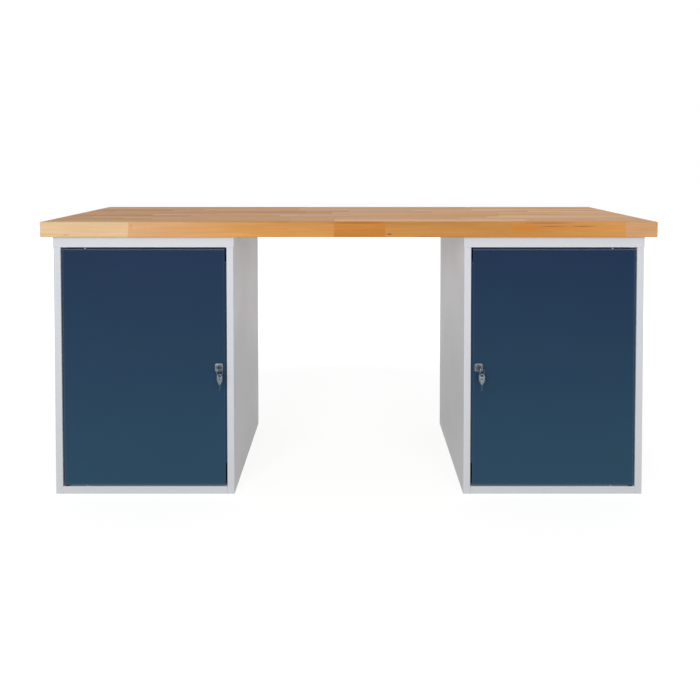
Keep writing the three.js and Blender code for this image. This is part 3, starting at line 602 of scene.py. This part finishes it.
def build_worktop(low, high, rows):
    mesh = bmesh.new()
    tone = mesh.loops.layers.float.new("stave_tone")
    seed = mesh.faces.layers.float.new("stave_seed")
    shade = mesh.faces.layers.float.new("stave_shade")
    end_grain = mesh.faces.layers.float.new("end_grain")
    known = {}

    def corner(place):
        key = tuple(round(value, ROUNDING_DIGITS) for value in place)
        if key not in known:
            known[key] = mesh.verts.new(key)
        return known[key]

    for number, row in enumerate(rows):
        for index, stave in enumerate(row):
            left, right, (left_tone, right_tone), edge_shade, top_shade = stave
            for points, is_end, on_top in stave_faces(low, high, rows, number, index):
                face = mesh.faces.new([corner(point) for point in points])
                face[seed] = number * ROW_SEED + index * STAVE_SEED
                # in the front row the top's own shade is painted light, a pale band along the top's
                # front
                face[shade] = top_shade if on_top else edge_shade
                face[end_grain] = float(is_end)
                for loop in face.loops:
                    share = (loop.vert.co.x - left) / (right - left)
                    loop[tone] = left_tone + (right_tone - left_tone) * share
    bmesh.ops.recalc_face_normals(mesh, faces=mesh.faces[:])
    data = bpy.data.meshes.new("beech_worktop")
    mesh.to_mesh(data)
    mesh.free()
    return data


slab = build_worktop(worktop_low, worktop_high, stave_rows)
print("slab faces", len(slab.polygons))

# %% [markdown]
# A planed top has a small rounding along its arrises, so that they don't splinter. A Bevel modifier
# takes only the edges that turn sharply and leaves the flat joints alone; its result is then kept
# as a plain mesh.

# %% Round the arrises
ARRIS_RADIUS, ARRIS_SEGMENTS = 0.0030, 4
ARRIS_ANGLE = math.radians(60)


def evaluated_mesh(piece):
    """A plain mesh of a curve, or of a piece with its modifiers."""
    graph = bpy.context.evaluated_depsgraph_get()
    return bpy.data.meshes.new_from_object(piece.evaluated_get(graph))


def settle(piece):
    """Turns a piece with modifiers into a plain mesh."""
    plain = evaluated_mesh(piece)
    piece.modifiers.clear()
    piece.data = plain


worktop = add_object("beech_worktop", slab)
arris = worktop.modifiers.new("arris", "BEVEL")
arris.width = ARRIS_RADIUS
arris.segments = ARRIS_SEGMENTS
arris.limit_method = "ANGLE"
arris.angle_limit = ARRIS_ANGLE
settle(worktop)
print("worktop faces", len(worktop.data.polygons))

# %% [markdown]
# Beech is a pale, reddish-tan wood with fine dark flecks along the grain and soft, wavy growth
# lines. The grain runs along each stave, so the noise is stretched along X and shifted by the
# stave's own seed. On the ends the growth rings are cut across, so arcs and pores take the place of
# the streaks there. The arcs of a board share one middle, the heart of its trunk, which lies a few
# centimetres away.

# %% The growth rings on the ends
STAVE_DEPTH = (worktop_high.y - worktop_low.y) / STAVE_ROWS
HEART_REACH = 0.075
HEART_TURNS = {"Y": 12.9, "Z": 7.3}
RING_LINES = {"Scale": 95.0, "Distortion": 1.5, "Detail": 2.0, "Detail Scale": 30.0}


def growth_rings(place, seed):
    """Rings round the heart of each board's trunk; a sine of the seed scatters the hearts."""
    axes = axes_of(place)
    from_heart = {
        "Y": math_node("FLOORED_MODULO", minus(axes["Y"], worktop_low.y), STAVE_DEPTH),
        "Z": minus(axes["Z"], worktop_high.z),
    }
    for axis, turn in HEART_TURNS.items():
        heart = times(math_node("SINE", times(seed, turn)), HEART_REACH)
        from_heart[axis] = plus(from_heart[axis], heart)
    vector = add_node("ShaderNodeCombineXYZ", from_heart).outputs[0]
    rings = add_node("ShaderNodeTexWave", {"Vector": vector, **RING_LINES},
                     wave_type="RINGS", rings_direction="X")
    return rings.outputs["Fac"]


# %% The tones and the grain of beech
GRAIN_ROUGHNESS = 0.6
BEECH_TONES = (
    (0.0, srgb(232, 199, 156)), (0.40, srgb(219, 165, 114)), (0.62, srgb(217, 155, 85)),
    (1.0, srgb(196, 126, 52)),
)


def beech_tone(tone):
    ramp = add_node("ShaderNodeValToRGB", {"Fac": tone})
    elements = ramp.color_ramp.elements
    while len(elements) < len(BEECH_TONES):
        elements.new(0.5)
    for element, (position, colour) in zip(elements, BEECH_TONES):
        element.position = position
        element.color = colour
    return ramp.outputs["Color"]


def stretched_noise(place, scale, detail, distortion=0.0):
    stretched = add_node("ShaderNodeMapping", {"Vector": place, "Scale": scale}).outputs[0]
    return noise(stretched, 1.0, detail, GRAIN_ROUGHNESS, distortion)


# %% The beech group
WAVE_SCALE, WAVE_DISTORTION, WAVE_STRENGTH = (1.6, 26.0, 26.0), 0.35, 0.55
STREAK_SCALE, STREAK_STRENGTH = (7.0, 190.0, 190.0), 0.38
FLECK_SCALE, FLECK_BEGINS, FLECK_FULL = (210.0, 1500.0, 1500.0), 0.60, 0.70
PORE_SCALE, PORE_BEGINS, PORE_FULL = (900.0, 900.0, 900.0), 0.58, 0.72
RING_STRENGTH, FLECK_STRENGTH, END_DARKENING = 0.16, 0.16, 0.22
RED_POWER, BLUE_POWER = 0.8, 1.35
OILED_ROUGHNESS, FLECK_ROUGHNESS = 0.46, 0.60

beech_grain, given, out = shader_group(
    "beech_grain", {"Tone": 0.5, "Shade": 1.0, "Seed": 0.0, "End Grain": 0.0}, SKIN_OUTPUTS)
place = object_coordinates(beech_grain)
offset = add_node("ShaderNodeCombineXYZ", {axis: given["Seed"] for axis in "XYZ"})
moved = vector_math("ADD", place, offset.outputs[0])
at_end = given["End Grain"]
along = minus(1.0, at_end)
wave = stretched_noise(moved, WAVE_SCALE, detail=5.0, distortion=WAVE_DISTORTION)
wave = centred(wave, WAVE_STRENGTH)
streaks = stretched_noise(moved, STREAK_SCALE, detail=3.0)
lines = times(centred(streaks, STREAK_STRENGTH), along)
arcs = times(centred(growth_rings(place, given["Seed"]), RING_STRENGTH), at_end)
dashes = remap(stretched_noise(moved, FLECK_SCALE, detail=1.0), FLECK_BEGINS, FLECK_FULL)
dots = remap(stretched_noise(moved, PORE_SCALE, detail=2.0), PORE_BEGINS, PORE_FULL)
dark = plus(times(dashes, along), times(dots, at_end))
value = plus(1.0, plus(wave, plus(lines, arcs)))
value = minus(value, times(dark, FLECK_STRENGTH))
value = minus(value, times(at_end, END_DARKENING))
red = times(math_node("POWER", value, RED_POWER), given["Shade"])
green = times(value, given["Shade"])
blue = times(math_node("POWER", value, BLUE_POWER), given["Shade"])
wire(out, {
    "Color": tinted(beech_tone(given["Tone"]), red, green, blue),
    "Roughness": remap(dark, 0.0, 1.0, OILED_ROUGHNESS, FLECK_ROUGHNESS),
    "Height": minus(lines, dark),
})
print("group", beech_grain.name, len(beech_grain.nodes), "nodes")

# %% [markdown]
# Boards also carry marks of their own. The front edge of this top shows a small knot, a few reddish
# streaks, a warm patch and a dark line along the upper arris of its darkest board. Each mark is an
# ellipse on the front face: the coordinates are moved to its middle and divided by its half sizes,
# so that a length of 1 is its outline, and some noise makes that outline ragged.

# %% The marks on the front edge
MARK_DEPTH = 0.010
MARK_OUTSIDE, MARK_INSIDE = 1.15, 0.3
RAGGED_SCALE, RAGGED_STRENGTH = 160.0, 0.9
KNOT_BROWN, STREAK_RED, WARM_ORANGE = srgb(104, 60, 24), srgb(158, 92, 38), srgb(204, 124, 48)
FRONT_MARKS = (
    # middle x, height above the worktop's underside, half length, half height, colour, strength
    (0.132, 0.0105, 0.0090, 0.0024, KNOT_BROWN, 1.0),
    (0.245, 0.0030, 0.045, 0.0022, STREAK_RED, 0.55),
    (0.030, 0.0470, 0.110, 0.0040, STREAK_RED, 0.60),
    (0.575, 0.0320, 0.060, 0.0130, WARM_ORANGE, 0.75),
    (0.640, 0.0465, 0.090, 0.0040, STREAK_RED, 0.55),
    (0.660, 0.0355, 0.050, 0.0026, STREAK_RED, 0.70),
    (0.757, 0.0355, 0.044, 0.0026, STREAK_RED, 0.70),
    (-0.915, 0.0075, 0.010, 0.0022, STREAK_RED, 0.35),
    (-0.705, 0.0360, 0.006, 0.0130, WARM_ORANGE, 0.30),
)


def add_marks(colour):
    place = object_coordinates(colour.id_data)
    ragged = centred(noise(place, RAGGED_SCALE, detail=2.0), RAGGED_STRENGTH)
    for x, rise, half_length, half_height, mark_colour, strength in FRONT_MARKS:
        halves = Vector((half_length, MARK_DEPTH, half_height))
        middle = Vector((x, worktop_low.y, worktop_low.z + rise))
        scale = [1 / half for half in halves]
        offset = [-value / half for value, half in zip(middle, halves)]
        local = add_node("ShaderNodeMapping", {"Vector": place, "Scale": scale, "Location": offset})
        distance = plus(vector_math("LENGTH", local.outputs[0]), ragged)
        mark = remap(distance, MARK_OUTSIDE, MARK_INSIDE, 0.0, strength)
        colour = mix_color(mark, colour, mark_colour)
    return colour


# %% The beech material
STAVE_ATTRIBUTES = {
    "Tone": "stave_tone", "Shade": "stave_shade", "Seed": "stave_seed", "End Grain": "end_grain",
}
GRAIN_STRENGTH, GRAIN_DEPTH = 0.35, 0.00008
BEECH_GLOSS = 0.10

beech, tree, shader = new_material("oiled_beech")
grain = add_node("ShaderNodeGroup", {}, tree, node_tree=beech_grain)
for label, attribute in STAVE_ATTRIBUTES.items():
    source = add_node("ShaderNodeAttribute", {}, tree, attribute_name=attribute)
    wire(grain, {label: source.outputs["Fac"]})
wear_skin(shader, grain.outputs, GRAIN_STRENGTH, GRAIN_DEPTH)
wire(shader, {"Base Color": add_marks(grain.outputs["Color"]), "Specular IOR Level": BEECH_GLOSS})
worktop.data.materials.clear()
worktop.data.materials.append(beech)
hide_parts("worktop")
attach(worktop, "bench")
print("worktop wears", beech.name, "with", len(FRONT_MARKS), "marks")

# %% [markdown]
# ## The lock roses
# Each cam lock is a die-cast body: a square rose with rounded corners, a raised rim and a collar
# round the plug, and behind it a round barrel. All of these are rings round one axis, so the body
# is a loft: a list of loops from the barrel's back to the bore, each a superellipse. Power 2 gives
# a circle, a higher power a rounded square, and every loop has equally many points, so neighbours
# join by plain quads.


# %% Mesh helpers
def mesh_piece(name, mesh, materials, smooth_angle):
    """Makes an object of a bmesh, sharp only where faces meet at more than smooth_angle."""
    bmesh.ops.recalc_face_normals(mesh, faces=mesh.faces[:])
    for face in mesh.faces:
        face.smooth = True
    for edge in mesh.edges:
        edge.smooth = len(edge.link_faces) == 2 and edge.calc_face_angle() < smooth_angle
    data = bpy.data.meshes.new(name)
    mesh.to_mesh(data)
    mesh.free()
    for material in materials:
        data.materials.append(material)
    print(name, len(data.polygons), "faces")
    return add_object(name, data)


def join_loops(mesh, loops, closed):
    """Skins loops of equally many points with quads; a closed skin joins the last to the first."""
    rings = [[mesh.verts.new(point) for point in loop] for loop in loops]
    pairs = list(zip(rings, rings[1:]))
    if closed:
        pairs.append((rings[-1], rings[0]))
    for near, far in pairs:
        for index, corner in enumerate(near):
            after = (index + 1) % len(near)
            mesh.faces.new((corner, near[after], far[after], far[index]))
    return rings


def superellipse(half_width, half_height, power, count):
    points = []
    for step in range(count):
        angle = 2 * math.pi * step / count
        across, up = math.cos(angle), math.sin(angle)
        reach = (abs(across) ** power + abs(up) ** power) ** (-1 / power)
        points.append((half_width * reach * across, half_height * reach * up))
    return points


# %% Loft the two lock bodies
LOFT_POINTS = 64
ROUND, SQUARE = 2.0, 6.6
ROSE_HEIGHT, BARREL_RADIUS = 0.004, 0.011
PLUG_CLEARANCE = 0.0003
RIM_WIDTH, RIM_DROP = 0.0022, 0.0007
COLLAR_WIDTH = 0.0010
ROSE_ARRIS = 0.0008
ARRIS_MIDDLE = ROSE_ARRIS * 0.3
ROSE_SMOOTH = math.radians(30)


def lock_body(side):
    low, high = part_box(f"{side}_lock_body")
    plug_low, plug_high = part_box(f"{side}_lock_plug")
    middle = (low + high) / 2
    half = (high.x - low.x) / 2
    bore = (plug_high.x - plug_low.x) / 2 + PLUG_CLEARANCE
    collar = bore + COLLAR_WIDTH
    length = high.y - low.y
    field = half - RIM_WIDTH
    steps = [
        # power, radius, distance behind the rose's front
        (ROUND, bore, length), (ROUND, BARREL_RADIUS, length), (ROUND, BARREL_RADIUS, ROSE_HEIGHT),
        (SQUARE, half, ROSE_HEIGHT), (SQUARE, half, ROSE_ARRIS),
        (SQUARE, half - ARRIS_MIDDLE, ARRIS_MIDDLE), (SQUARE, half - ROSE_ARRIS, 0.0),
        (SQUARE, field, 0.0), (SQUARE, field - RIM_DROP, RIM_DROP),
        (ROUND, collar + RIM_DROP, RIM_DROP), (ROUND, collar, 0.0),
        (ROUND, bore + PLUG_CLEARANCE, 0.0), (ROUND, bore, PLUG_CLEARANCE),
    ]
    loops = []
    for power, radius, depth in steps:
        outline = superellipse(radius, radius, power, LOFT_POINTS)
        loops.append([(middle.x + across, low.y + depth, middle.z + up) for across, up in outline])
    mesh = bmesh.new()
    join_loops(mesh, loops, closed=True)
    piece = mesh_piece(f"{side}_lock_rose", mesh, [die_cast_zinc], ROSE_SMOOTH)
    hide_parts(f"{side}_lock_body")
    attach(piece, f"{side}_door")


for side in SIDES:
    lock_body(side)

# %% [markdown]
# ## The keys
# A key is stamped from flat nickel-plated steel: a tapering bow with a slot for the ring and a small
# hole, and a blade with cuts. A filled 2D curve does just that: an outline with holes, given a
# thickness and a tiny bevel for the tumbled edges. It becomes a mesh first and is carried to its
# place afterwards. The blade is given a darker finish than the bow, so the mesh is cut at the
# shoulder and the faces beyond it get a second material.

# %% Round the corners of an outline
ARC_STEPS = 10


def rounded_corner(before, corner, after, radius):
    """Points of the arc that rounds one corner of an outline."""
    to_before, to_after = (before - corner).normalized(), (after - corner).normalized()
    half_angle = to_before.angle(to_after) / 2
    middle = corner + (to_before + to_after).normalized() * (radius / math.sin(half_angle))
    start = (corner + to_before * (radius / math.tan(half_angle)) - middle).normalized()
    finish = (corner + to_after * (radius / math.tan(half_angle)) - middle).normalized()
    return [middle + start.slerp(finish, step / ARC_STEPS) * radius for step in range(ARC_STEPS + 1)]


def rounded_outline(corners):
    """corners: (x, y, radius) in order round the outline; radius 0 leaves a corner sharp."""
    points = []
    for index, (x, y, radius) in enumerate(corners):
        before = Vector(corners[index - 1][:2])
        after = Vector(corners[(index + 1) % len(corners)][:2])
        here = Vector((x, y))
        points += rounded_corner(before, here, after, radius) if radius else [here]
    return points


# %% Draw the key
KEY_THICKNESS = 0.0018
BLADE_LENGTH, BLADE_WIDTH, BLADE_TIP = 0.022, 0.0055, 0.003
CUT_COUNT, CUT_DEPTH, CUT_WIDTH = 4, 0.0012, 0.0036
BOW_LENGTH, BOW_WIDTH, BOW_TAPER, BOW_RADIUS = 0.035, 0.020, 0.013, 0.009
SLOT_LENGTH, SLOT_WIDTH, SLOT_RIM, SLOT_POWER = 0.010, 0.006, 0.003, 3.5
BOW_HOLE_RADIUS = 0.002


def key_outlines():
    """The edge, the slot and the hole, with the shoulder at x 0 and the blade along +X."""
    half, bow = BLADE_WIDTH / 2, BOW_WIDTH / 2
    straight = BLADE_LENGTH - BLADE_TIP
    edge = [(straight, -half, 0), (BLADE_LENGTH, 0, 0), (straight, half, 0)]
    for cut in reversed(range(CUT_COUNT)):
        middle = (cut + 0.5) * straight / CUT_COUNT
        edge += [(middle + CUT_WIDTH / 2, half, 0), (middle, half - CUT_DEPTH, 0)]
        edge.append((middle - CUT_WIDTH / 2, half, 0))
    edge += [(0, half, 0), (-BOW_TAPER, bow, BOW_RADIUS), (-BOW_LENGTH, bow, BOW_RADIUS)]
    edge += [(-BOW_LENGTH, -bow, BOW_RADIUS), (-BOW_TAPER, -bow, BOW_RADIUS), (0, -half, 0)]
    slot_middle = -BOW_LENGTH + SLOT_RIM + SLOT_WIDTH / 2
    slot = superellipse(SLOT_WIDTH / 2, SLOT_LENGTH / 2, SLOT_POWER, 4 * ARC_STEPS)
    hole = superellipse(BOW_HOLE_RADIUS, BOW_HOLE_RADIUS, ROUND, 2 * ARC_STEPS)
    slot = [(x + slot_middle, y) for x, y in slot]
    hole = [(x - BOW_LENGTH / 2, y) for x, y in hole]
    return [rounded_outline(edge), slot, hole]


print("key outlines", [len(outline) for outline in key_outlines()], "points")

# %% Stamp a key
KEY_BEVEL, BEVEL_STEPS = 0.0003, 2
MERGE_DISTANCE = 0.000002
KEY_SMOOTH = math.radians(20)


def stamped_mesh(outlines, thickness, bevel):
    curve = bpy.data.curves.new("stamping", "CURVE")
    curve.dimensions = "2D"
    curve.fill_mode = "BOTH"
    curve.extrude = thickness / 2 - bevel
    curve.bevel_depth = bevel
    curve.bevel_resolution = BEVEL_STEPS
    curve.offset = -bevel
    for outline in outlines:
        spline = curve.splines.new("POLY")
        spline.points.add(len(outline) - 1)
        spline.use_cyclic_u = True
        for point, (x, y) in zip(spline.points, outline):
            point.co = (x, y, 0.0, 1.0)
    blank = add_object("stamping", curve)
    data = evaluated_mesh(blank)
    mesh = bmesh.new()
    mesh.from_mesh(data)
    bmesh.ops.remove_doubles(mesh, verts=mesh.verts[:], dist=MERGE_DISTANCE)
    bpy.data.objects.remove(blank)
    bpy.data.meshes.remove(data)
    return mesh


def key_piece(node, along, face_normal, shoulder, body):
    """Carries a stamped key to its node: along points from the bow to the blade's tip."""
    mesh = stamped_mesh(key_outlines(), KEY_THICKNESS, KEY_BEVEL)
    whole = mesh.verts[:] + mesh.edges[:] + mesh.faces[:]
    bmesh.ops.bisect_plane(mesh, geom=whole, plane_co=(0, 0, 0), plane_no=(1, 0, 0))
    for face in mesh.faces:
        face.material_index = 1 if face.calc_center_median().x > 0 else 0
    turn = Matrix((along, face_normal.cross(along), face_normal)).transposed().to_4x4()
    bmesh.ops.transform(mesh, matrix=Matrix.Translation(shoulder) @ turn, verts=mesh.verts[:])
    piece = mesh_piece(f"{node}_stamped", mesh, [nickel_plate, blade_steel], KEY_SMOOTH)
    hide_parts(node)
    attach(piece, body)


# %% Put a key in each lock and a spare key on its ring
SPARE_TURN = math.radians(70)
SIDEWAYS, INTO_THE_DOOR, DOWNWARDS = Vector((1, 0, 0)), Vector((0, 1, 0)), Vector((0, 0, -1))
spare_normal = Vector((math.cos(SPARE_TURN), math.sin(SPARE_TURN), 0))

for side in SIDES:
    low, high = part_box(f"{side}_key")
    middle = (low + high) / 2
    shoulder = Vector((middle.x, high.y - BLADE_LENGTH, middle.z))
    key_piece(f"{side}_key", INTO_THE_DOOR, SIDEWAYS, shoulder, f"{side}_lock")
    low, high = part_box(f"{side}_spare_key")
    middle = (low + high) / 2
    shoulder = Vector((middle.x, middle.y, low.z + BLADE_LENGTH))
    key_piece(f"{side}_spare_key", DOWNWARDS, spare_normal, shoulder, f"{side}_spare_key")

# %% [markdown]
# ## The split rings
# The ring is two turns of spring wire lying side by side, crossing over once; the ends are where a
# key is pushed on. A torus would be one closed ring, so the wire is swept along a helix that stays
# on one level for nearly a turn, steps across, and stays on the other level.

# %% Wind the split rings
RING_RADIUS = 0.010
RING_TURN = math.radians(28)
WIRE_HALF_WIDTH, WIRE_HALF_THICKNESS = 0.00058, 0.00030
COIL_OFFSET = 0.00034
CROSSING_ANGLE = 0.35
RING_STEPS, WIRE_POINTS = 108, 12
RING_SMOOTH = math.radians(50)


def split_ring(side):
    low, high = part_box(f"{side}_key_ring")
    middle = (low + high) / 2
    across = Vector((math.cos(RING_TURN), math.sin(RING_TURN), 0))
    up = Vector((0, 0, 1))
    axis = across.cross(up)
    section = superellipse(WIRE_HALF_WIDTH, WIRE_HALF_THICKNESS, ROUND, WIRE_POINTS)
    first, last = CROSSING_ANGLE, 4 * math.pi - CROSSING_ANGLE
    loops = []
    for step in range(RING_STEPS + 1):
        angle = first + (last - first) * step / RING_STEPS
        outward = across * math.cos(angle) + up * math.sin(angle)
        crossing = min(1.0, max(-1.0, (angle - 2 * math.pi) / CROSSING_ANGLE))
        centre = middle + axis * (COIL_OFFSET * math.sin(crossing * math.pi / 2))
        ring = [centre + outward * (RING_RADIUS + wide) + axis * thick for wide, thick in section]
        loops.append(ring)
    mesh = bmesh.new()
    rings = join_loops(mesh, loops, closed=False)
    mesh.faces.new(rings[0])
    mesh.faces.new(rings[-1])
    piece = mesh_piece(f"{side}_split_ring", mesh, [nickel_plate], RING_SMOOTH)
    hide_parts(f"{side}_key_ring")
    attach(piece, f"{side}_door")


for side in SIDES:
    split_ring(side)

# %% [markdown]
# ## Screws and welds
# Small fasteners repeat, so each kind is one Geometry Nodes tree: it takes the points of a mesh as
# places, puts the same small shape on every point, and makes the result real. The tree's named
# inputs hold the sizes, so one tree serves the worktop's screws and the smaller ones that hold the
# lock cams.


# %% Geometry tree helpers
def geometry_tree(name, inputs):
    """Every tree takes points and a turn, and ends in a shape with a material."""
    tree = bpy.data.node_groups.new(name, "GeometryNodeTree")
    sockets = {"Geometry": GEOMETRY, "Turn": VECTOR, **inputs, "Material": MATERIAL}
    for label, kind in sockets.items():
        tree.interface.new_socket(label, in_out="INPUT", socket_type=kind)
    tree.interface.new_socket("Geometry", in_out="OUTPUT", socket_type=GEOMETRY)
    return tree, tree.nodes.new("NodeGroupInput").outputs, tree.nodes.new("NodeGroupOutput")


def put_on_points(given, out, shape):
    """Ends a tree: the shape on every point, turned, made real and given its material."""
    turn = add_node("FunctionNodeEulerToRotation", {"Euler": given["Turn"]})
    points = add_node("GeometryNodeInstanceOnPoints",
                      {"Points": given["Geometry"], "Instance": shape, "Rotation": turn.outputs[0]})
    real = add_node("GeometryNodeRealizeInstances", {"Geometry": points.outputs[0]})
    finish = add_node("GeometryNodeSetMaterial",
                      {"Geometry": real.outputs[0], "Material": given["Material"]})
    wire(out, {"Geometry": finish.outputs[0]})


def repeat_piece(name, tree, places, settings, body):
    """Runs a tree on a mesh of places and keeps the result as a plain mesh that rides on a body."""
    data = bpy.data.meshes.new(name)
    data.from_pydata(places, [], [])
    piece = add_object(name, data)
    modifier = piece.modifiers.new(name, "NODES")
    modifier.node_group = tree
    for item in tree.interface.items_tree:
        if item.in_out == "INPUT" and item.name in settings:
            modifier[item.identifier] = settings[item.name]
    settle(piece)
    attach(piece, body)
    print(name, len(places), "places,", len(piece.data.polygons), "faces")


# %% The hexagon screw tree
FLANGE_SIDES, HEAD_SIDES = 32, 6
CROWN_SHARE = 0.86


def cone(sides, bottom, top, height):
    settings = {"Vertices": sides, "Radius Bottom": bottom, "Radius Top": top, "Depth": height}
    return add_node("GeometryNodeMeshCone", settings).outputs["Mesh"]


SCREW_SIZES = ("Head Radius", "Head Height", "Flange Radius", "Flange Height")
hex_screw, given, out = geometry_tree("hex_screw", {size: NUMBER for size in SCREW_SIZES})
head, tall, wide, thin = (given[size] for size in SCREW_SIZES)
lift = add_node("ShaderNodeCombineXYZ", {"Z": tall})
crown = cone(HEAD_SIDES, head, times(head, CROWN_SHARE), thin)
top = add_node("GeometryNodeTransform", {"Geometry": crown, "Translation": lift.outputs[0]})
whole = hex_screw.nodes.new("GeometryNodeJoinGeometry")
for part in (cone(FLANGE_SIDES, wide, head, thin), cone(HEAD_SIDES, head, head, tall), top.outputs[0]):
    wire(whole, {0: part})
put_on_points(given, out, whole.outputs[0])
print("tree", hex_screw.name, len(hex_screw.nodes), "nodes")

# %% [markdown]
# Four screws go up through each cap into the worktop, near the cap's corners; one screw holds each
# cam on the plug's square tail and turns with it.

# %% Place the screws
CAP_SHEET = 0.0015
SCREW_INSET = 0.070
WORKTOP_SCREW = {
    "Head Radius": 0.0065, "Head Height": 0.0045, "Flange Radius": 0.0095, "Flange Height": 0.0012,
    "Turn": (math.pi, 0, 0), "Material": zinc_plate,
}
CAM_SCREW = {
    "Head Radius": 0.0046, "Head Height": 0.0028, "Flange Radius": 0.0062, "Flange Height": 0.0007,
    "Turn": (-math.pi / 2, 0, 0), "Material": zinc_plate,
}

screw_places = []
for side in SIDES:
    low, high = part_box(f"{side}_cap")
    for x in (low.x + SCREW_INSET, high.x - SCREW_INSET):
        for y in (low.y + SCREW_INSET, high.y - SCREW_INSET):
            screw_places.append((x, y, high.z - CAP_SHEET))
repeat_piece("worktop_screws", hex_screw, screw_places, WORKTOP_SCREW, "bench")
for side in SIDES:
    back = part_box(f"{side}_lock_cam")[1].y
    low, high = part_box(f"{side}_lock_plug")
    cam_place = [((low.x + high.x) / 2, back, (low.z + high.z) / 2)]
    repeat_piece(f"{side}_cam_screw", hex_screw, cam_place, CAM_SCREW, f"{side}_lock")

# %% [markdown]
# The carcass is welded. The back panel is spot welded through the rear flanges, which leaves rows of
# shallow bumps, and the frame's corners are welded and ground flush, so that rail, stile and plinth
# read as one piece. Both are the same low mound under the paint, round for a spot and long for a
# ground seam.

# %% The weld tree
MOUND_BALL = {"Segments": 24, "Rings": 12, "Radius": 1.0}

weld_mound, given, out = geometry_tree("weld_mound", {"Half Size": VECTOR})
ball = add_node("GeometryNodeMeshUVSphere", MOUND_BALL, weld_mound).outputs["Mesh"]
mound = add_node("GeometryNodeTransform", {"Geometry": ball, "Scale": given["Half Size"]})
soft = add_node("GeometryNodeSetShadeSmooth", {"Geometry": mound.outputs[0]})
put_on_points(given, out, soft.outputs[0])
print("tree", weld_mound.name, len(weld_mound.nodes), "nodes")

# %% Place the welds
FLANGE_MIDDLE, STILE_WIDTH, DOOR_GAP = 0.0115, 0.025, 0.005
SPOT_FIRST, SPOT_STEP, SPOT_COUNT = 0.080, 0.100, 8
SPOT_HALF_SIZE = (0.0032, 0.00035, 0.0032)
SEAM_OFFSET = 0.00015
SEAM_RISE, SEAM_HALF_WIDTH, RAIL_SEAM_HALF = 0.00012, 0.0012, 0.0100
UNTURNED = (0, 0, 0)

spots, rail_seams, plinth_seams = [], [], []
for side in SIDES:
    low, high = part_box(f"{side}_cap")
    plinth_half = (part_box(f"{side}_door")[0].z - DOOR_GAP) / 2
    for x in (low.x + FLANGE_MIDDLE, high.x - FLANGE_MIDDLE):
        spots += [(x, high.y, SPOT_FIRST + SPOT_STEP * number) for number in range(SPOT_COUNT)]
        rail_seams.append((x, low.y, low.z - SEAM_OFFSET))
    for x in (low.x + STILE_WIDTH, high.x - STILE_WIDTH):
        plinth_seams.append((x + math.copysign(SEAM_OFFSET, x), low.y, plinth_half))
WELDS = {
    "rear_spot_welds": (spots, SPOT_HALF_SIZE),
    "rail_corner_welds": (rail_seams, (RAIL_SEAM_HALF, SEAM_RISE, SEAM_HALF_WIDTH)),
    "plinth_corner_welds": (plinth_seams, (SEAM_HALF_WIDTH, SEAM_RISE, plinth_half)),
}
for name, (places, half_size) in WELDS.items():
    settings = {"Half Size": half_size, "Turn": UNTURNED, "Material": weld_paint}
    repeat_piece(name, weld_mound, places, settings, "bench")
